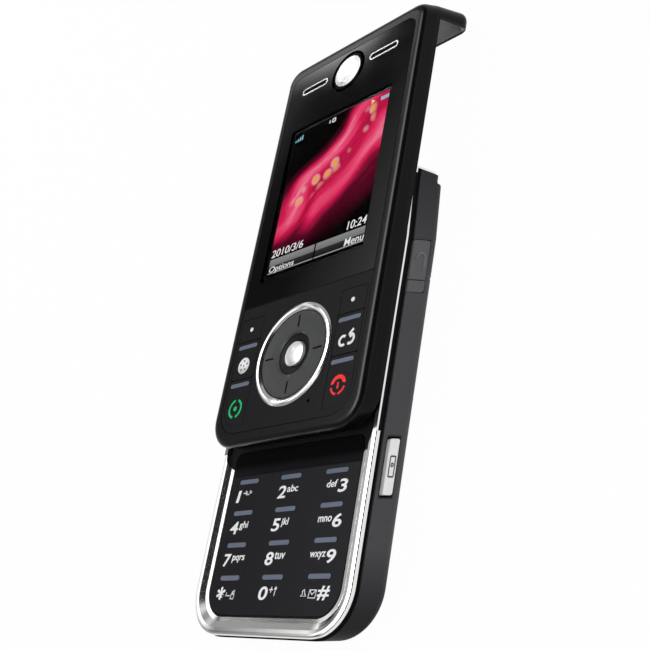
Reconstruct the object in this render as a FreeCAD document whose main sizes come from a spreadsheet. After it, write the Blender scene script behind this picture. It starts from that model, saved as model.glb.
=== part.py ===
import FreeCAD, Part
import math
import os

import Sketcher

# A pocket telephone in two halves. The keypad half lies underneath and the screen
# half slides along it. Millimetres. The frame's origin is at the middle of the
# keypad half's back, +Y runs towards the earpiece, +Z out of the screen, and the
# telephone stands open: the screen half is drawn out by its whole travel.

os.makedirs("parts", exist_ok=True)
doc = FreeCAD.newDocument("slider_phone")
sheet = doc.addObject("Spreadsheet::Sheet", "Sizes")


class Size:
    """A length with the sheet expression that gives it, so that sums of lengths stay bound."""

    def __init__(self, value, text):
        self.value = value
        self.text = text

    def __add__(self, other):
        other = as_size(other)
        return Size(self.value + other.value, f"({self.text} + {other.text})")

    def __sub__(self, other):
        other = as_size(other)
        return Size(self.value - other.value, f"({self.text} - {other.text})")

    def __rsub__(self, other):
        return as_size(other) - self

    def __mul__(self, factor):
        factor = as_size(factor)
        return Size(self.value * factor.value, f"({self.text} * {factor.text})")

    def __truediv__(self, divisor):
        divisor = as_size(divisor)
        return Size(self.value / divisor.value, f"({self.text} / {divisor.text})")

    def __neg__(self):
        return Size(-self.value, f"(-1 * {self.text})")


def as_size(thing):
    if isinstance(thing, Size):
        return thing
    return Size(float(thing), repr(float(thing)))


def size(alias, value, note):
    """Writes one driving dimension into the next row of the sheet."""
    size.row += 1
    sheet.set(f"A{size.row}", note)
    sheet.set(f"B{size.row}", repr(value))
    sheet.setAlias(f"B{size.row}", alias)
    return Size(value, f"Sizes.{alias}")


size.row = 0

# Keypad half: outline
side_step = size("side_step", 0.2, "step between the sides of the two halves")
base_bottom = size("base_bottom", 46.9, "origin to the lower end")
base_step = size("base_step", 43.7, "origin to the step of the neck")
neck_end = size("neck_end", 47.0, "origin to the end of the neck")
neck_inset = size("neck_inset", 0.85, "how far the sides draw in towards the neck")
neck_back = size("neck_back", 1.5, "height of the neck's back")
neck_round = size("neck_round", 2.2, "radius of the neck's back edges")
neck_lean = size("neck_lean", 0.19, "lean of the neck's end for each millimetre of height")
taper_length = size("taper_length", 13.2, "length over which the sides draw in")
cover_end_round = size("cover_end_round", 1.0, "radius of the upper back cover's end")
base_corner = size("base_corner", 9.0, "plan radius of the lower corners")
back_round = size("back_round", 2.7, "radius of the back's edges")
# Keypad half: heights of its layers
cover_height = size("cover_height", 2.8, "depth of the back covers")
side_height = size("side_height", 5.5, "height of the side housing")
deck_height = size("deck_height", 1.15, "height of the black deck")
rim_height = size("rim_height", 1.15, "height of the bright rim above the deck")
# Slide
travel = size("travel", 38.2, "travel of the slide")
slide_gap = size("slide_gap", 0.35, "gap between the rim and the screen half")
chin_overlap = size("chin_overlap", 0.2, "closed screen half beyond the keypad half")
# Screen half
slider_width = size("slider_width", 45.4, "width of the screen half")
slider_length = size("slider_length", 98.0, "length of the screen half")
rear_height = size("rear_height", 1.25, "depth of the rear housing of the screen half")
front_height = size("front_height", 4.1, "depth of the front housing of the screen half")
slider_corner = size("slider_corner", 7.0, "plan radius of the lower corners")
slider_top_corner = size("slider_top_corner", 4.0, "plan radius of the upper corners")
face_round = size("face_round", 1.65, "radius of the front housing's edge")
lip_length = size("lip_length", 4.7, "length of the lip that caps the neck, at its root")
lip_lean = size("lip_lean", 0.12, "lean of the lip's end for each millimetre of height")
mouth_lean = size("mouth_lean", 0.175, "lean of the lip's mouth for each millimetre of height")
lip_back = size("lip_back", 0.1, "height of the lip's back")
lip_wall = size("lip_wall", 0.8, "side wall of the lip")
lip_floor = size("lip_floor", 1.1, "floor of the lip")
lip_end_wall = size("lip_end_wall", 1.8, "end wall of the lip")
lip_round = size("lip_round", 3.3, "radius of the lip's back edges")
# Walls, floors and clearances
wall = size("wall", 1.3, "side wall of the housings")
floor = size("floor", 0.7, "floor of the housings")
cover_floor = size("cover_floor", 0.8, "floor of the back covers")
fit_gap = size("fit_gap", 0.1, "gap round a fitted piece")
seat_gap = size("seat_gap", 0.05, "gap under a seated piece")
seam = size("seam", 0.08, "seam between neighbouring keys")
edge_round = size("edge_round", 0.05, "bevel of the keys' and panels' upper edges")
key_travel = size("key_travel", 0.25, "travel of a key")
# Face of the screen half
face_margin = size("face_margin", 2.4, "side of the screen half to the face panels")
chin_length = size("chin_length", 2.9, "lower end of the screen half to the face panels")
brow_length = size("brow_length", 3.2, "upper end of the screen half to the face panels")
panel_corner = size("panel_corner", 6.0, "lower corner radius of the face panels")
panel_top_corner = size("panel_top_corner", 3.0, "upper corner radius of the face panels")
nav_height = size("nav_height", 32.4, "lower end of the screen half to the face's seam")
lens_thick = size("lens_thick", 0.85, "thickness of the display lens")
panel_ledge = size("panel_ledge", 0.9, "width of the ledge under the face panels")
# Ring, wheel and select button
ring_up = size("ring_up", 18.3, "lower end of the screen half to the ring's centre")
ring_outer = size("ring_outer", 11.4, "outer radius of the ring")
ring_width = size("ring_width", 1.75, "width of the ring")
wheel_crown = size("wheel_crown", 0.25, "drop of the wheel's outer edge")
wheel_dish = size("wheel_dish", 0.12, "depth of the wheel's dish")
wheel_lip = size("wheel_lip", 0.45, "drop of the wheel's inner edge")
tick_width = size("tick_width", 0.44, "width of the wheel's engraved ticks")
tick_depth = size("tick_depth", 0.3, "depth of the wheel's engraved ticks")
tick_inner = size("tick_inner", 1.5, "well to the inner end of a tick")
tick_outer = size("tick_outer", 0.9, "edge of the wheel to the outer end of a tick")
pad_lip = size("pad_lip", 0.75, "face to the outer edge of the pad in the wheel's well")
pad_dish = size("pad_dish", 1.1, "face to the inner edge of the pad in the wheel's well")
wheel_nub = size("wheel_nub", 1.0, "radius of the nubs under the wheel")
ring_proud = size("ring_proud", 0.45, "height of the ring above the face")
wheel_gap = size("wheel_gap", 0.15, "gap round the wheel")
well_radius = size("well_radius", 4.5, "radius of the well in the wheel")
select_radius = size("select_radius", 2.7, "radius of the select button")
select_proud = size("select_proud", 0.35, "height of the select button above the face")
# Keys of the face
key_ring_gap = size("key_ring_gap", 0.6, "ring to the face keys")
nav_key_top = size("nav_key_top", 29.6, "lower end of the screen half to the top of the face keys")
soft_key_height = size("soft_key_height", 5.4, "height of a soft key")
media_key_height = size("media_key_height", 8.8, "height of a media key")
call_key_height = size("call_key_height", 10.8, "height of a call key")
bar_thick = size("bar_thick", 0.95, "width of the raised bars")
bar_proud = size("bar_proud", 0.2, "height of the raised bars")
bar_drop = size("bar_drop", 1.25, "top of a key to its bar's axis")
bar_margin = size("bar_margin", 0.55, "side of a face key to the end of its bar")
dot_radius = size("dot_radius", 0.5, "radius of a soft key's raised dot")
nub_radius = size("nub_radius", 1.2, "radius of the nub under a key")
# Earpiece, badge and microphone
slot_drop = size("slot_drop", 8.7, "upper end of the screen half to the earpiece slots")
slot_across = size("slot_across", 11.3, "axis to the centre of an earpiece slot")
slot_length = size("slot_length", 8.8, "length of an earpiece slot")
slot_width = size("slot_width", 1.9, "width of an earpiece slot")
slot_rim = size("slot_rim", 0.35, "rim of an earpiece slot")
badge_drop = size("badge_drop", 9.2, "upper end of the screen half to the round badge")
badge_radius = size("badge_radius", 4.7, "radius of the round badge")
badge_recess = size("badge_recess", 5.3, "radius of the badge's recess")
badge_proud = size("badge_proud", 0.3, "height of the badge above the face")
microphone_across = size("microphone_across", 7.7, "axis to the microphone")
microphone_up = size("microphone_up", 7.0, "lower end of the screen half to the microphone")
microphone_hole = size("microphone_hole", 0.4, "radius of the microphone's hole")
microphone_width = size("microphone_width", 3.2, "width of the microphone")
microphone_length = size("microphone_length", 2.6, "length of the microphone")
microphone_depth = size("microphone_depth", 1.15, "depth of the microphone")
receiver_width = size("receiver_width", 16.0, "width of the earpiece's loudspeaker")
receiver_length = size("receiver_length", 6.8, "length of the earpiece's loudspeaker")
display_margin = size("display_margin", 4.5, "side of the screen half to the display module")
display_up = size("display_up", 2.6, "face's seam to the display module")
display_length = size("display_length", 48.0, "length of the display module")
# Keypad
keypad_margin = size("keypad_margin", 3.5, "side of the keypad half to the keypad")
keypad_chin = size("keypad_chin", 4.2, "lower end of the keypad half to the keypad")
keypad_corner = size("keypad_corner", 5.3, "lower corner radius of the keypad")
keypad_top_corner = size("keypad_top_corner", 2.0, "upper corner radius of the keypad")
key_pitch = size("key_pitch", 6.48, "pitch of the key rows")
last_row_height = size("last_row_height", 8.3, "height of the lowest key row")
panel_strip = size("panel_strip", 5.2, "height of the keypad's upper strip")
key_thick = size("key_thick", 1.1, "thickness of a key")
key_proud = size("key_proud", 0.08, "height of the keys above the deck")
key_bar_length = size("key_bar_length", 5.9, "length of a key's bar")
bar_outset = size("bar_outset", 0.29, "outer columns' bars beyond the middle of their keys")
# Bright rim
rim_crown = size("rim_crown", 1.5, "width of the rim's crown")
rim_round = size("rim_round", 0.55, "height of the crown's rounded outer edge")
rim_bevel = size("rim_bevel", 1.1, "width of the rim's inner bevel")
rim_bevel_drop = size("rim_bevel_drop", 0.95, "drop of the rim's inner bevel")
rim_line = size("rim_line", 0.9, "width of the rim beside the slide")
line_height = size("line_height", 0.5, "height of the bright line beside the slide")
flare_radius = size("flare_radius", 3.9, "radius of the curve that narrows the rim's band to the line")
end_bend = size("end_bend", 1.5, "length of the bright line's bend at the neck's corners")
end_sheet = size("end_sheet", 0.45, "thickness of the bright plate on the neck's end")
deck_inset = size("deck_inset", 0.4, "step between the side and the black deck")
# Side controls
side_key_from = size("side_key_from", 21.6, "origin to the lower end of the side key")
side_key_length = size("side_key_length", 10.5, "length of the side key")
side_key_low = size("side_key_low", 4.0, "height of the side key's back edge")
side_key_wide = size("side_key_wide", 2.6, "width of the side key")
side_key_proud = size("side_key_proud", 0.45, "height of the side key above the side")
side_key_travel = size("side_key_travel", 0.4, "travel of the side key")
volume_from = size("volume_from", 5.0, "origin to the lower end of the volume rocker")
volume_length = size("volume_length", 15.0, "length of the volume rocker")
port_from = size("port_from", 18.4, "origin to the lower end of the port cover")
port_length = size("port_length", 11.4, "length of the port cover with its tab")
port_low = size("port_low", 3.2, "height of the port cover's back edge")
port_wide = size("port_wide", 5.05, "width of the port cover")
port_tab = size("port_tab", 2.6, "length of the port cover's fixed tab")
port_thick = size("port_thick", 0.75, "thickness of the port cover")
port_proud = size("port_proud", 0.12, "height of the port cover above the side")
recess_extra = size("recess_extra", 0.3, "recess round the side controls")
control_edge = size("control_edge", 0.22, "radius of the side controls' outer edges")
control_corner = size("control_corner", 0.5, "corner radius of the side controls")
flap_edge = size("flap_edge", 0.2, "radius of the port cover's outer edges")
flap_corner = size("flap_corner", 0.7, "corner radius of the port cover")
connector_height = size("connector_height", 2.4, "height of the connector")
connector_width = size("connector_width", 7.5, "width of the connector")
connector_length = size("connector_length", 5.2, "length of the connector")
connector_sheet = size("connector_sheet", 0.3, "thickness of the connector's shell")
tongue_thick = size("tongue_thick", 0.6, "thickness of the connector's tongue")
# Back
cover_top = size("cover_top", 21.9, "origin to the battery cover's upper edge")
cover_gap = size("cover_gap", 0.15, "gap between the two back covers")
battery_margin = size("battery_margin", 4.5, "side of the keypad half to the battery")
battery_up = size("battery_up", 9.4, "lower end of the keypad half to the battery")
battery_round = size("battery_round", 0.5, "radius of the battery's long edges")
battery_length = size("battery_length", 54.0, "length of the battery")
battery_thick = size("battery_thick", 3.5, "thickness of the battery")
bay_height = size("bay_height", 2.6, "depth of the battery bay in the side housing")
web_height = size("web_height", 0.6, "thickness of the web over the battery bay")
camera_up = size("camera_up", 33.7, "origin to the camera's axis")
camera_glass = size("camera_glass", 3.4, "radius of the camera's window")
camera_bezel = size("camera_bezel", 4.6, "radius of the camera's bezel")
camera_width = size("camera_width", 8.4, "width of the camera's square body")
camera_barrel = size("camera_barrel", 1.6, "height of the camera's barrel")
grille_pitch = size("grille_pitch", 1.5, "pitch of the loudspeaker's slots")
grille_length = size("grille_length", 8.0, "length of the loudspeaker's middle slot")
grille_step = size("grille_step", 1.4, "how much shorter each slot is than the one before")
groove_width = size("groove_width", 0.6, "width of the slots and grooves in the back")
grip_length = size("grip_length", 12.0, "length of the longest thumb groove")
grip_step = size("grip_step", 1.6, "how much shorter each thumb groove is than the one before")
grip_pitch = size("grip_pitch", 1.3, "pitch of the thumb grooves")
grip_drop = size("grip_drop", 5.0, "battery cover's upper edge to the first thumb groove")
speaker_width = size("speaker_width", 10.0, "width of the loudspeaker")
speaker_length = size("speaker_length", 13.0, "length of the loudspeaker")
speaker_depth = size("speaker_depth", 3.35, "depth of the loudspeaker")
motor_radius = size("motor_radius", 4.0, "radius of the vibration motor")
motor_depth = size("motor_depth", 2.7, "depth of the vibration motor")
motor_round = size("motor_round", 0.3, "radius of the motor's edge")
sim_width = size("sim_width", 16.0, "width of the card holder")
sim_length = size("sim_length", 14.0, "length of the card holder")
# Boards
board_thick = size("board_thick", 0.8, "thickness of the main board")
board_margin = size("board_margin", 3.9, "side of the keypad half to the main board")
board_corner = size("board_corner", 5.0, "corner radius of the main board")
small_corner = size("small_corner", 1.0, "corner radius of bays, cans and small parts")
tight_corner = size("tight_corner", 0.4, "corner radius of keys, wells and panels where they meet")
dome_radius = size("dome_radius", 2.0, "radius of a dome")
sheet_thick = size("sheet_thick", 0.12, "thickness of the dome sheets")
dome_height = size("dome_height", 0.28, "height of the domes")
screw_radius = size("screw_radius", 0.7, "radius of a screw")
screw_head = size("screw_head", 1.0, "radius of a screw's head")
screw_margin = size("screw_margin", 2.75, "side of the keypad half to the screws")
screw_low = size("screw_low", 2.0, "battery's lower end to the lower screws")
screw_high = size("screw_high", 4.0, "battery's upper end to the upper screws")
# Slide mechanism
rail_margin = size("rail_margin", 4.5, "side of the screen half to the rail plate")
rail_sheet = size("rail_sheet", 0.35, "thickness of the rail plate")
rail_depth = size("rail_depth", 1.0, "depth of the rail plate's channels")
rail_lip = size("rail_lip", 1.3, "width of the rail plate's lips")
rail_lip_thick = size("rail_lip_thick", 0.22, "thickness of the rail plate's lips")
run_gap = size("run_gap", 0.1, "running gap of the slide")
carriage_gap = size("carriage_gap", 0.4, "carriage to the end of its tray")
carriage_length = size("carriage_length", 37.0, "length of the carriage")
carriage_sheet = size("carriage_sheet", 0.35, "thickness of the carriage plate")
spring_wire = size("spring_wire", 0.22, "radius of the slide spring's wire")
spring_coil = size("spring_coil", 3.0, "radius of the slide spring's coil")
spring_across = size("spring_across", 10.5, "axis to the slide springs")
rivet_across = size("rivet_across", 7.0, "axis to the rivets of the rail plate")
rivet_radius = size("rivet_radius", 1.2, "radius of a rivet's head")
rivet_head = size("rivet_head", 0.3, "height of a rivet's head")
flex_width = size("flex_width", 9.0, "width of the flexible circuit")
flex_room = size("flex_room", 1.0, "room beside the flexible circuit in its slots")
flex_slot = size("flex_slot", 2.4, "width of the slots for the flexible circuit")
doc.recompute()

# Heights that follow from the layers
z_side = cover_height
z_deck = z_side + side_height
z_rim = z_deck + deck_height
z_rim_top = z_rim + rim_height
z_slider = z_rim_top + slide_gap
z_split = z_slider + rear_height
z_face = z_split + front_height
z_panel = z_face - lens_thick
z_board = z_side + bay_height + web_height + fit_gap * 5
z_board_top = z_board + board_thick
z_board_front = z_slider + floor + fit_gap
z_board_front_top = z_board_front + board_thick

# Places that follow from the outlines
half_slider = slider_width / 2
half_base = half_slider - side_step
slider_bottom = travel - base_bottom - chin_overlap
slider_top = slider_bottom + slider_length
lip_start = slider_top - lip_length
face_half = half_slider - face_margin
face_bottom = slider_bottom + chin_length
face_top = slider_top - brow_length
seam_line = slider_bottom + nav_height
ring_middle = slider_bottom + ring_up
nav_top = slider_bottom + nav_key_top
nav_key_inner = ring_outer + key_ring_gap
nav_key_outer = face_half - panel_ledge
keypad_half = half_base - keypad_margin
keypad_low = keypad_chin - base_bottom
column_width = keypad_half * 2 / 3
key_bar_across = column_width + bar_outset
keypad_rows_top = keypad_low + last_row_height + key_pitch * 3
keypad_high = keypad_rows_top + panel_strip
flare_end = keypad_high + fit_gap
neck_half = half_base - neck_inset
taper_from = base_step - taper_length
carriage_from = base_step - wall - carriage_gap - carriage_length
rail_half = half_slider - rail_margin
rail_from = carriage_from - wall
rail_length = carriage_length + travel + wall * 2
battery_half = half_base - battery_margin
bay_half = battery_half + fit_gap * 7
grille_across = battery_half - speaker_width / 2
battery_low = battery_up - base_bottom
battery_high = battery_low + battery_length
battery_middle = (battery_low + battery_high) / 2
bay_low = battery_low - fit_gap * 10
bay_high = battery_high + fit_gap * 10
board_half = half_base - board_margin
screw_across = half_base - screw_margin
antenna_half = half_base - base_corner + wall
nub_bottom_front = z_board_front_top + sheet_thick + dome_height + key_travel + fit_gap
wheel_nub_reach = ring_outer * 0.66
connector_low = z_board - connector_height - fit_gap
call_corner = panel_corner - panel_ledge
connector_middle = port_from + port_tab + (port_length - port_tab) / 2
NOTHING = as_size(0.0)
QUARTERS = ((1, 0), (-1, 0), (0, 1), (0, -1))


def bind(thing, path, length):
    """Ties a property of an object to the sheet."""
    thing.setExpression(path, as_size(length).text)


def place(thing, across, along, up):
    """Puts a whole piece at a bound place."""
    for axis, length in zip("xyz", (across, along, up)):
        bind(thing, f"Placement.Base.{axis}", as_size(length))


def turned(axis, degrees):
    return FreeCAD.Rotation(FreeCAD.Vector(*axis), degrees)


class Piece:
    """One moulding, pressing or turning, as a body with its own sketches and features."""

    def __init__(self, label):
        self.body = doc.addObject("PartDesign::Body", label)
        self.body.Label = label
        self.count = 0

    def plane(self, role):
        for feature in self.body.Origin.OriginFeatures:
            if feature.Role == role:
                return feature
        raise ValueError(role)

    def sketch(self, role, offset):
        """An empty sketch parallel to an origin plane, at a bound distance along its normal."""
        self.count += 1
        made = self.body.newObject("Sketcher::SketchObject", f"{self.body.Name}_sketch{self.count}")
        made.AttachmentSupport = [(self.plane(role), "")]
        made.MapMode = "FlatFace"
        bind(made, "AttachmentOffset.Base.z", as_size(offset))
        return made

    def feature(self, kind, **settings):
        self.count += 1
        made = self.body.newObject(f"PartDesign::{kind}", f"{self.body.Name}_{kind.lower()}{self.count}")
        for name, value in settings.items():
            setattr(made, name, value)
        return made

    def pad(self, sketch, length, reverse=False):
        made = self.feature("Pad", Profile=sketch, Reversed=reverse)
        bind(made, "Length", length)
        sketch.Visibility = False
        return made

    def pocket(self, sketch, length, reverse=False):
        """Cuts away from the sketch, and stops the build if nothing was cut."""
        doc.recompute()
        before = self.body.Shape.Volume
        made = self.feature("Pocket", Profile=sketch, Reversed=reverse)
        bind(made, "Length", length)
        doc.recompute()
        if before - self.body.Shape.Volume < 1e-4:
            raise ValueError(f"{made.Name} cuts nothing")
        return made

    def turn(self, sketch):
        return self.feature("Revolution", Profile=sketch, ReferenceAxis=(sketch, ["V_Axis"]), Angle=360.0)

    def round(self, radius, chosen, kind="Fillet"):
        """Rounds or bevels the edges that chosen picks from the body as it stands."""
        doc.recompute()
        tip = self.body.Tip
        names = []
        for number, edge in enumerate(tip.Shape.Edges, 1):
            if chosen(edge):
                names.append(f"Edge{number}")
        if not names:
            raise ValueError(f"{self.body.Name}: no edges to round")
        made = self.feature(kind, Base=(tip, names))
        bind(made, "Radius" if kind == "Fillet" else "Size", radius)
        doc.recompute()
        return made

    def slab(self, outline, low, high):
        """Adds a flat prism between two heights."""
        sketch = self.sketch("XY_Plane", low)
        outline(sketch)
        return self.pad(sketch, as_size(high) - low)

    def loft(self, kind, sketches):
        """Adds or cuts what lies straight between two outlines."""
        return self.feature(kind, Profile=sketches[0], Sections=sketches[1:], Ruled=True)

    def hollow(self, outline, low, high):
        """Cuts a flat prism between two heights."""
        sketch = self.sketch("XY_Plane", high)
        outline(sketch)
        return self.pocket(sketch, as_size(high) - low)


def fix(sketch, geometry, point, across=None, along=None):
    """Holds one point of a sketch at bound distances from its axes."""
    for kind, axis_line, length in (("DistanceX", -2, across), ("DistanceY", -1, along)):
        if length is None:
            continue
        if abs(length.value) < 1e-9:
            sketch.addConstraint(Sketcher.Constraint("PointOnObject", geometry, point, axis_line))
            continue
        number = sketch.addConstraint(
            Sketcher.Constraint(kind, -1, 1, geometry, point, length.value)
        )
        bind(sketch, f"Constraints[{number}]", length)


def rectangle(left, right, bottom, top, radii=(NOTHING,) * 4):
    """An outline with corner radii in the order lower left, lower right, upper right, upper left."""
    left, right, bottom, top = (as_size(one) for one in (left, right, bottom, top))
    radii = [as_size(one) for one in (radii if isinstance(radii, (tuple, list)) else (radii,) * 4)]

    def draw(sketch):
        corners = [(left, bottom), (right, bottom), (right, top), (left, top)]
        steps = [(1, 0), (0, 1), (-1, 0), (0, -1)]
        ends = []
        for (x, y), radius, step, before in zip(corners, radii, steps, steps[-1:] + steps[:-1]):
            entry = (x.value - before[0] * radius.value, y.value - before[1] * radius.value)
            leave = (x.value + step[0] * radius.value, y.value + step[1] * radius.value)
            ends.append((entry, leave))
        lines = []
        for number in range(4):
            start = ends[number][1]
            stop = ends[(number + 1) % 4][0]
            lines.append(sketch.addGeometry(
                Part.LineSegment(FreeCAD.Vector(*start, 0), FreeCAD.Vector(*stop, 0)), False))
            level = "Horizontal" if number % 2 == 0 else "Vertical"
            sketch.addConstraint(Sketcher.Constraint(level, lines[-1]))
        for number, radius in enumerate(radii):
            entering = lines[number - 1]
            leaving = lines[number]
            if radius.value < 1e-6:
                sketch.addConstraint(Sketcher.Constraint("Coincident", entering, 2, leaving, 1))
                continue
            step = steps[number]
            before = steps[number - 1]
            x, y = corners[number]
            middle = FreeCAD.Vector(
                x.value + (step[0] - before[0]) * radius.value,
                y.value + (step[1] - before[1]) * radius.value, 0)
            start = math.pi * (1 + 0.5 * number)
            circle = Part.Circle(middle, FreeCAD.Vector(0, 0, 1), radius.value)
            arc = sketch.addGeometry(Part.ArcOfCircle(circle, start, start + math.pi / 2), False)
            sketch.addConstraint(Sketcher.Constraint("Tangent", entering, 2, arc, 1))
            sketch.addConstraint(Sketcher.Constraint("Tangent", arc, 2, leaving, 1))
            held = sketch.addConstraint(Sketcher.Constraint("Radius", arc, radius.value))
            bind(sketch, f"Constraints[{held}]", radius)
        fix(sketch, lines[0], 1, along=bottom)
        fix(sketch, lines[1], 1, across=right)
        fix(sketch, lines[2], 1, along=top)
        fix(sketch, lines[3], 1, across=left)

    return draw


def slot(middle_x, middle_y, length, width):
    """A long hole or bar along X with round ends, just short of full half circles."""
    middle_x, middle_y = as_size(middle_x), as_size(middle_y)
    half = as_size(length) / 2
    side = as_size(width) / 2
    return rectangle(middle_x - half, middle_x + half, middle_y - side, middle_y + side, side * 0.98)


def circle(middle_x, middle_y, radius):
    middle_x, middle_y, radius = as_size(middle_x), as_size(middle_y), as_size(radius)

    def draw(sketch):
        middle = FreeCAD.Vector(middle_x.value, middle_y.value, 0)
        made = sketch.addGeometry(Part.Circle(middle, FreeCAD.Vector(0, 0, 1), radius.value), False)
        fix(sketch, made, 3, middle_x, middle_y)
        held = sketch.addConstraint(Sketcher.Constraint("Radius", made, radius.value))
        bind(sketch, f"Constraints[{held}]", radius)

    return draw


def straight(sketch, start, stop):
    ends = [FreeCAD.Vector(x.value, y.value, 0) for x, y in (start, stop)]
    return sketch.addGeometry(Part.LineSegment(*ends), False)


def polygon(points):
    """A closed outline of straight sides, each corner held at its bound place."""
    points = [(as_size(x), as_size(y)) for x, y in points]

    def draw(sketch):
        lines = [straight(sketch, point, follower)
                 for point, follower in zip(points, points[1:] + points[:1])]
        for number, (x, y) in enumerate(points):
            sketch.addConstraint(Sketcher.Constraint("Coincident", lines[number - 1], 2, lines[number], 1))
            fix(sketch, lines[number], 1, x, y)

    return draw


def together(*outlines):
    def draw(sketch):
        for outline in outlines:
            outline(sketch)

    return draw


def mirrored(outline_at):
    """The same outline on both sides of the axis; outline_at takes +1 or -1."""
    return together(outline_at(1), outline_at(-1))


def level_edges(height, reach=1e-3):
    """Picks edges that lie wholly at one height."""
    def chosen(edge):
        box = edge.BoundBox
        return abs(box.ZMin - height.value) < reach and abs(box.ZMax - height.value) < reach

    return chosen


def wide_edges(height, half_width):
    """Picks the outer edges at one height: those that reach the outline."""
    at_height = level_edges(height)

    def chosen(edge):
        box = edge.BoundBox
        return at_height(edge) and max(abs(box.XMin), abs(box.XMax)) > half_width.value - 1e-3

    return chosen


def half_plan(half, bottom, top, corner, top_corner):
    return rectangle(-half, half, bottom, top, (corner, corner, top_corner, top_corner))


def base_plan(inset, top=base_step):
    """The keypad half's plan, drawn in by an inset."""
    inset = as_size(inset)
    return half_plan(half_base - inset, inset - base_bottom, top - inset, base_corner - inset, NOTHING)


def side_taper(inset):
    """The wedges by which the sides draw in towards the neck."""
    inner = half_base - inset
    outside = half_slider + wall
    return mirrored(lambda side: polygon([
        (inner * side, taper_from), (outside * side, taper_from),
        (outside * side, base_step), ((inner - neck_inset) * side, base_step)]))


def side_strip(side, inset, from_y, to_y):
    """A narrow strip along one side: straight, in along the taper, and straight beside the neck."""
    outer = half_base - inset
    outside = [(outer, from_y), (outer, taper_from),
               (outer - neck_inset, base_step), (outer - neck_inset, to_y)]
    inside = [(x - rim_line, y) for x, y in reversed(outside)]
    return polygon([(x * side, y) for x, y in outside + inside])


def neck_line(end, height):
    """Where the neck's leaning end lies at a height; end is its place at the foot of the rim."""
    return end - (z_rim - height) * neck_lean


def lean_neck(piece, end, low, high):
    """Cuts a piece of the neck to the lean of its end."""
    beyond = piece.sketch("YZ_Plane", half_slider)
    low = low - fit_gap
    high = high + fit_gap
    polygon([(neck_line(end, low), low), (neck_end + wall, low),
             (neck_end + wall, high), (neck_line(end, high), high)])(beyond)
    piece.pocket(beyond, slider_width)


def flex_window(along):
    """The slot through a plate for the flexible circuit."""
    return slot(0, along, flex_width + flex_room, flex_slot)


def slider_plan(inset=NOTHING):
    return half_plan(half_slider - inset, slider_bottom + inset, slider_top - inset,
                     slider_corner - inset, slider_top_corner - inset)


# ---------------------------------------------------------------- keypad half

def rear_housing():
    """The charcoal side housing with its neck, the battery bay and the openings in its sides."""
    piece = Piece("rear_housing")
    piece.slab(base_plan(NOTHING), z_side, z_deck)
    piece.hollow(side_taper(NOTHING), z_side, z_deck)
    neck = piece.sketch("XZ_Plane", -base_step)
    rectangle(-neck_half, neck_half, neck_back, z_deck, (neck_round, neck_round, NOTHING, NOTHING))(neck)
    piece.pad(neck, neck_end - base_step, reverse=True)
    lean_neck(piece, neck_end - end_sheet, neck_back, z_deck)
    # the bay above the web holds the main board and narrows with the sides
    bay_floor = z_side + bay_height + web_height
    piece.hollow(base_plan(wall, taper_from + wall), bay_floor, z_deck)
    half = neck_half - wall
    narrow = rectangle(-half, half, taper_from - wall, base_step - wall, small_corner)
    piece.hollow(narrow, bay_floor, z_deck)
    below = z_side - wall
    piece.hollow(rectangle(-bay_half, bay_half, bay_low, bay_high, small_corner), below, z_side + bay_height)
    # the upper bay runs through to the board: camera, loudspeaker and motor
    upper = rectangle(-bay_half, bay_half, bay_high + wall, base_step - wall * 1.2, small_corner)
    piece.hollow(upper, below, z_deck)
    half = antenna_half + fit_gap * 4
    piece.hollow(rectangle(-half, half, wall - base_bottom, bay_low - floor, small_corner), below, z_deck)
    # recess and slot of the side key, open towards the deck
    corner = control_corner + fit_gap
    key_side = piece.sketch("YZ_Plane", half_base)
    rectangle(-side_key_from - recess_extra, side_key_length + recess_extra - side_key_from,
              side_key_low - recess_extra, side_key_low + side_key_wide + recess_extra * 2.5,
              corner)(key_side)
    piece.pocket(key_side, wall - recess_extra)
    # recess of the volume rocker
    volume_side = piece.sketch("YZ_Plane", -half_base)
    rectangle(volume_from - recess_extra, volume_from + volume_length + recess_extra,
              side_key_low - recess_extra, side_key_low + side_key_wide + recess_extra, corner)(volume_side)
    piece.pocket(volume_side, wall - recess_extra, reverse=True)
    # recess of the port cover and the connector's mouth behind it
    port_side = piece.sketch("YZ_Plane", half_base)
    rectangle(port_from - fit_gap, port_from + port_length + recess_extra / 2,
              port_low - recess_extra / 2, z_deck + fit_gap,
              (control_corner, control_corner, NOTHING, NOTHING))(port_side)
    piece.pocket(port_side, port_thick)
    mouth = piece.sketch("YZ_Plane", half_base - port_thick + fit_gap)
    connector_outline(-fit_gap)(mouth)
    piece.pocket(mouth, wall * 4)
    # screw holes in the lands beside the bays
    holes = piece.sketch("XY_Plane", z_side)
    for across, along in screw_places():
        circle(across, along, screw_radius + seat_gap)(holes)
    piece.pocket(holes, bay_height + web_height, reverse=True)
    return piece


def connector_outline(inset):
    """The connector's outline in the side, drawn in by an inset."""
    inset = as_size(inset)
    half = connector_width / 2 - inset
    return rectangle(connector_middle - half, connector_middle + half, connector_low + inset,
                     connector_low + connector_height - inset, control_corner - inset / 2)


def screw_places():
    return [(screw_across * side, along) for side in (1, -1)
            for along in (battery_low + screw_low, battery_high - screw_high)]


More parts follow.
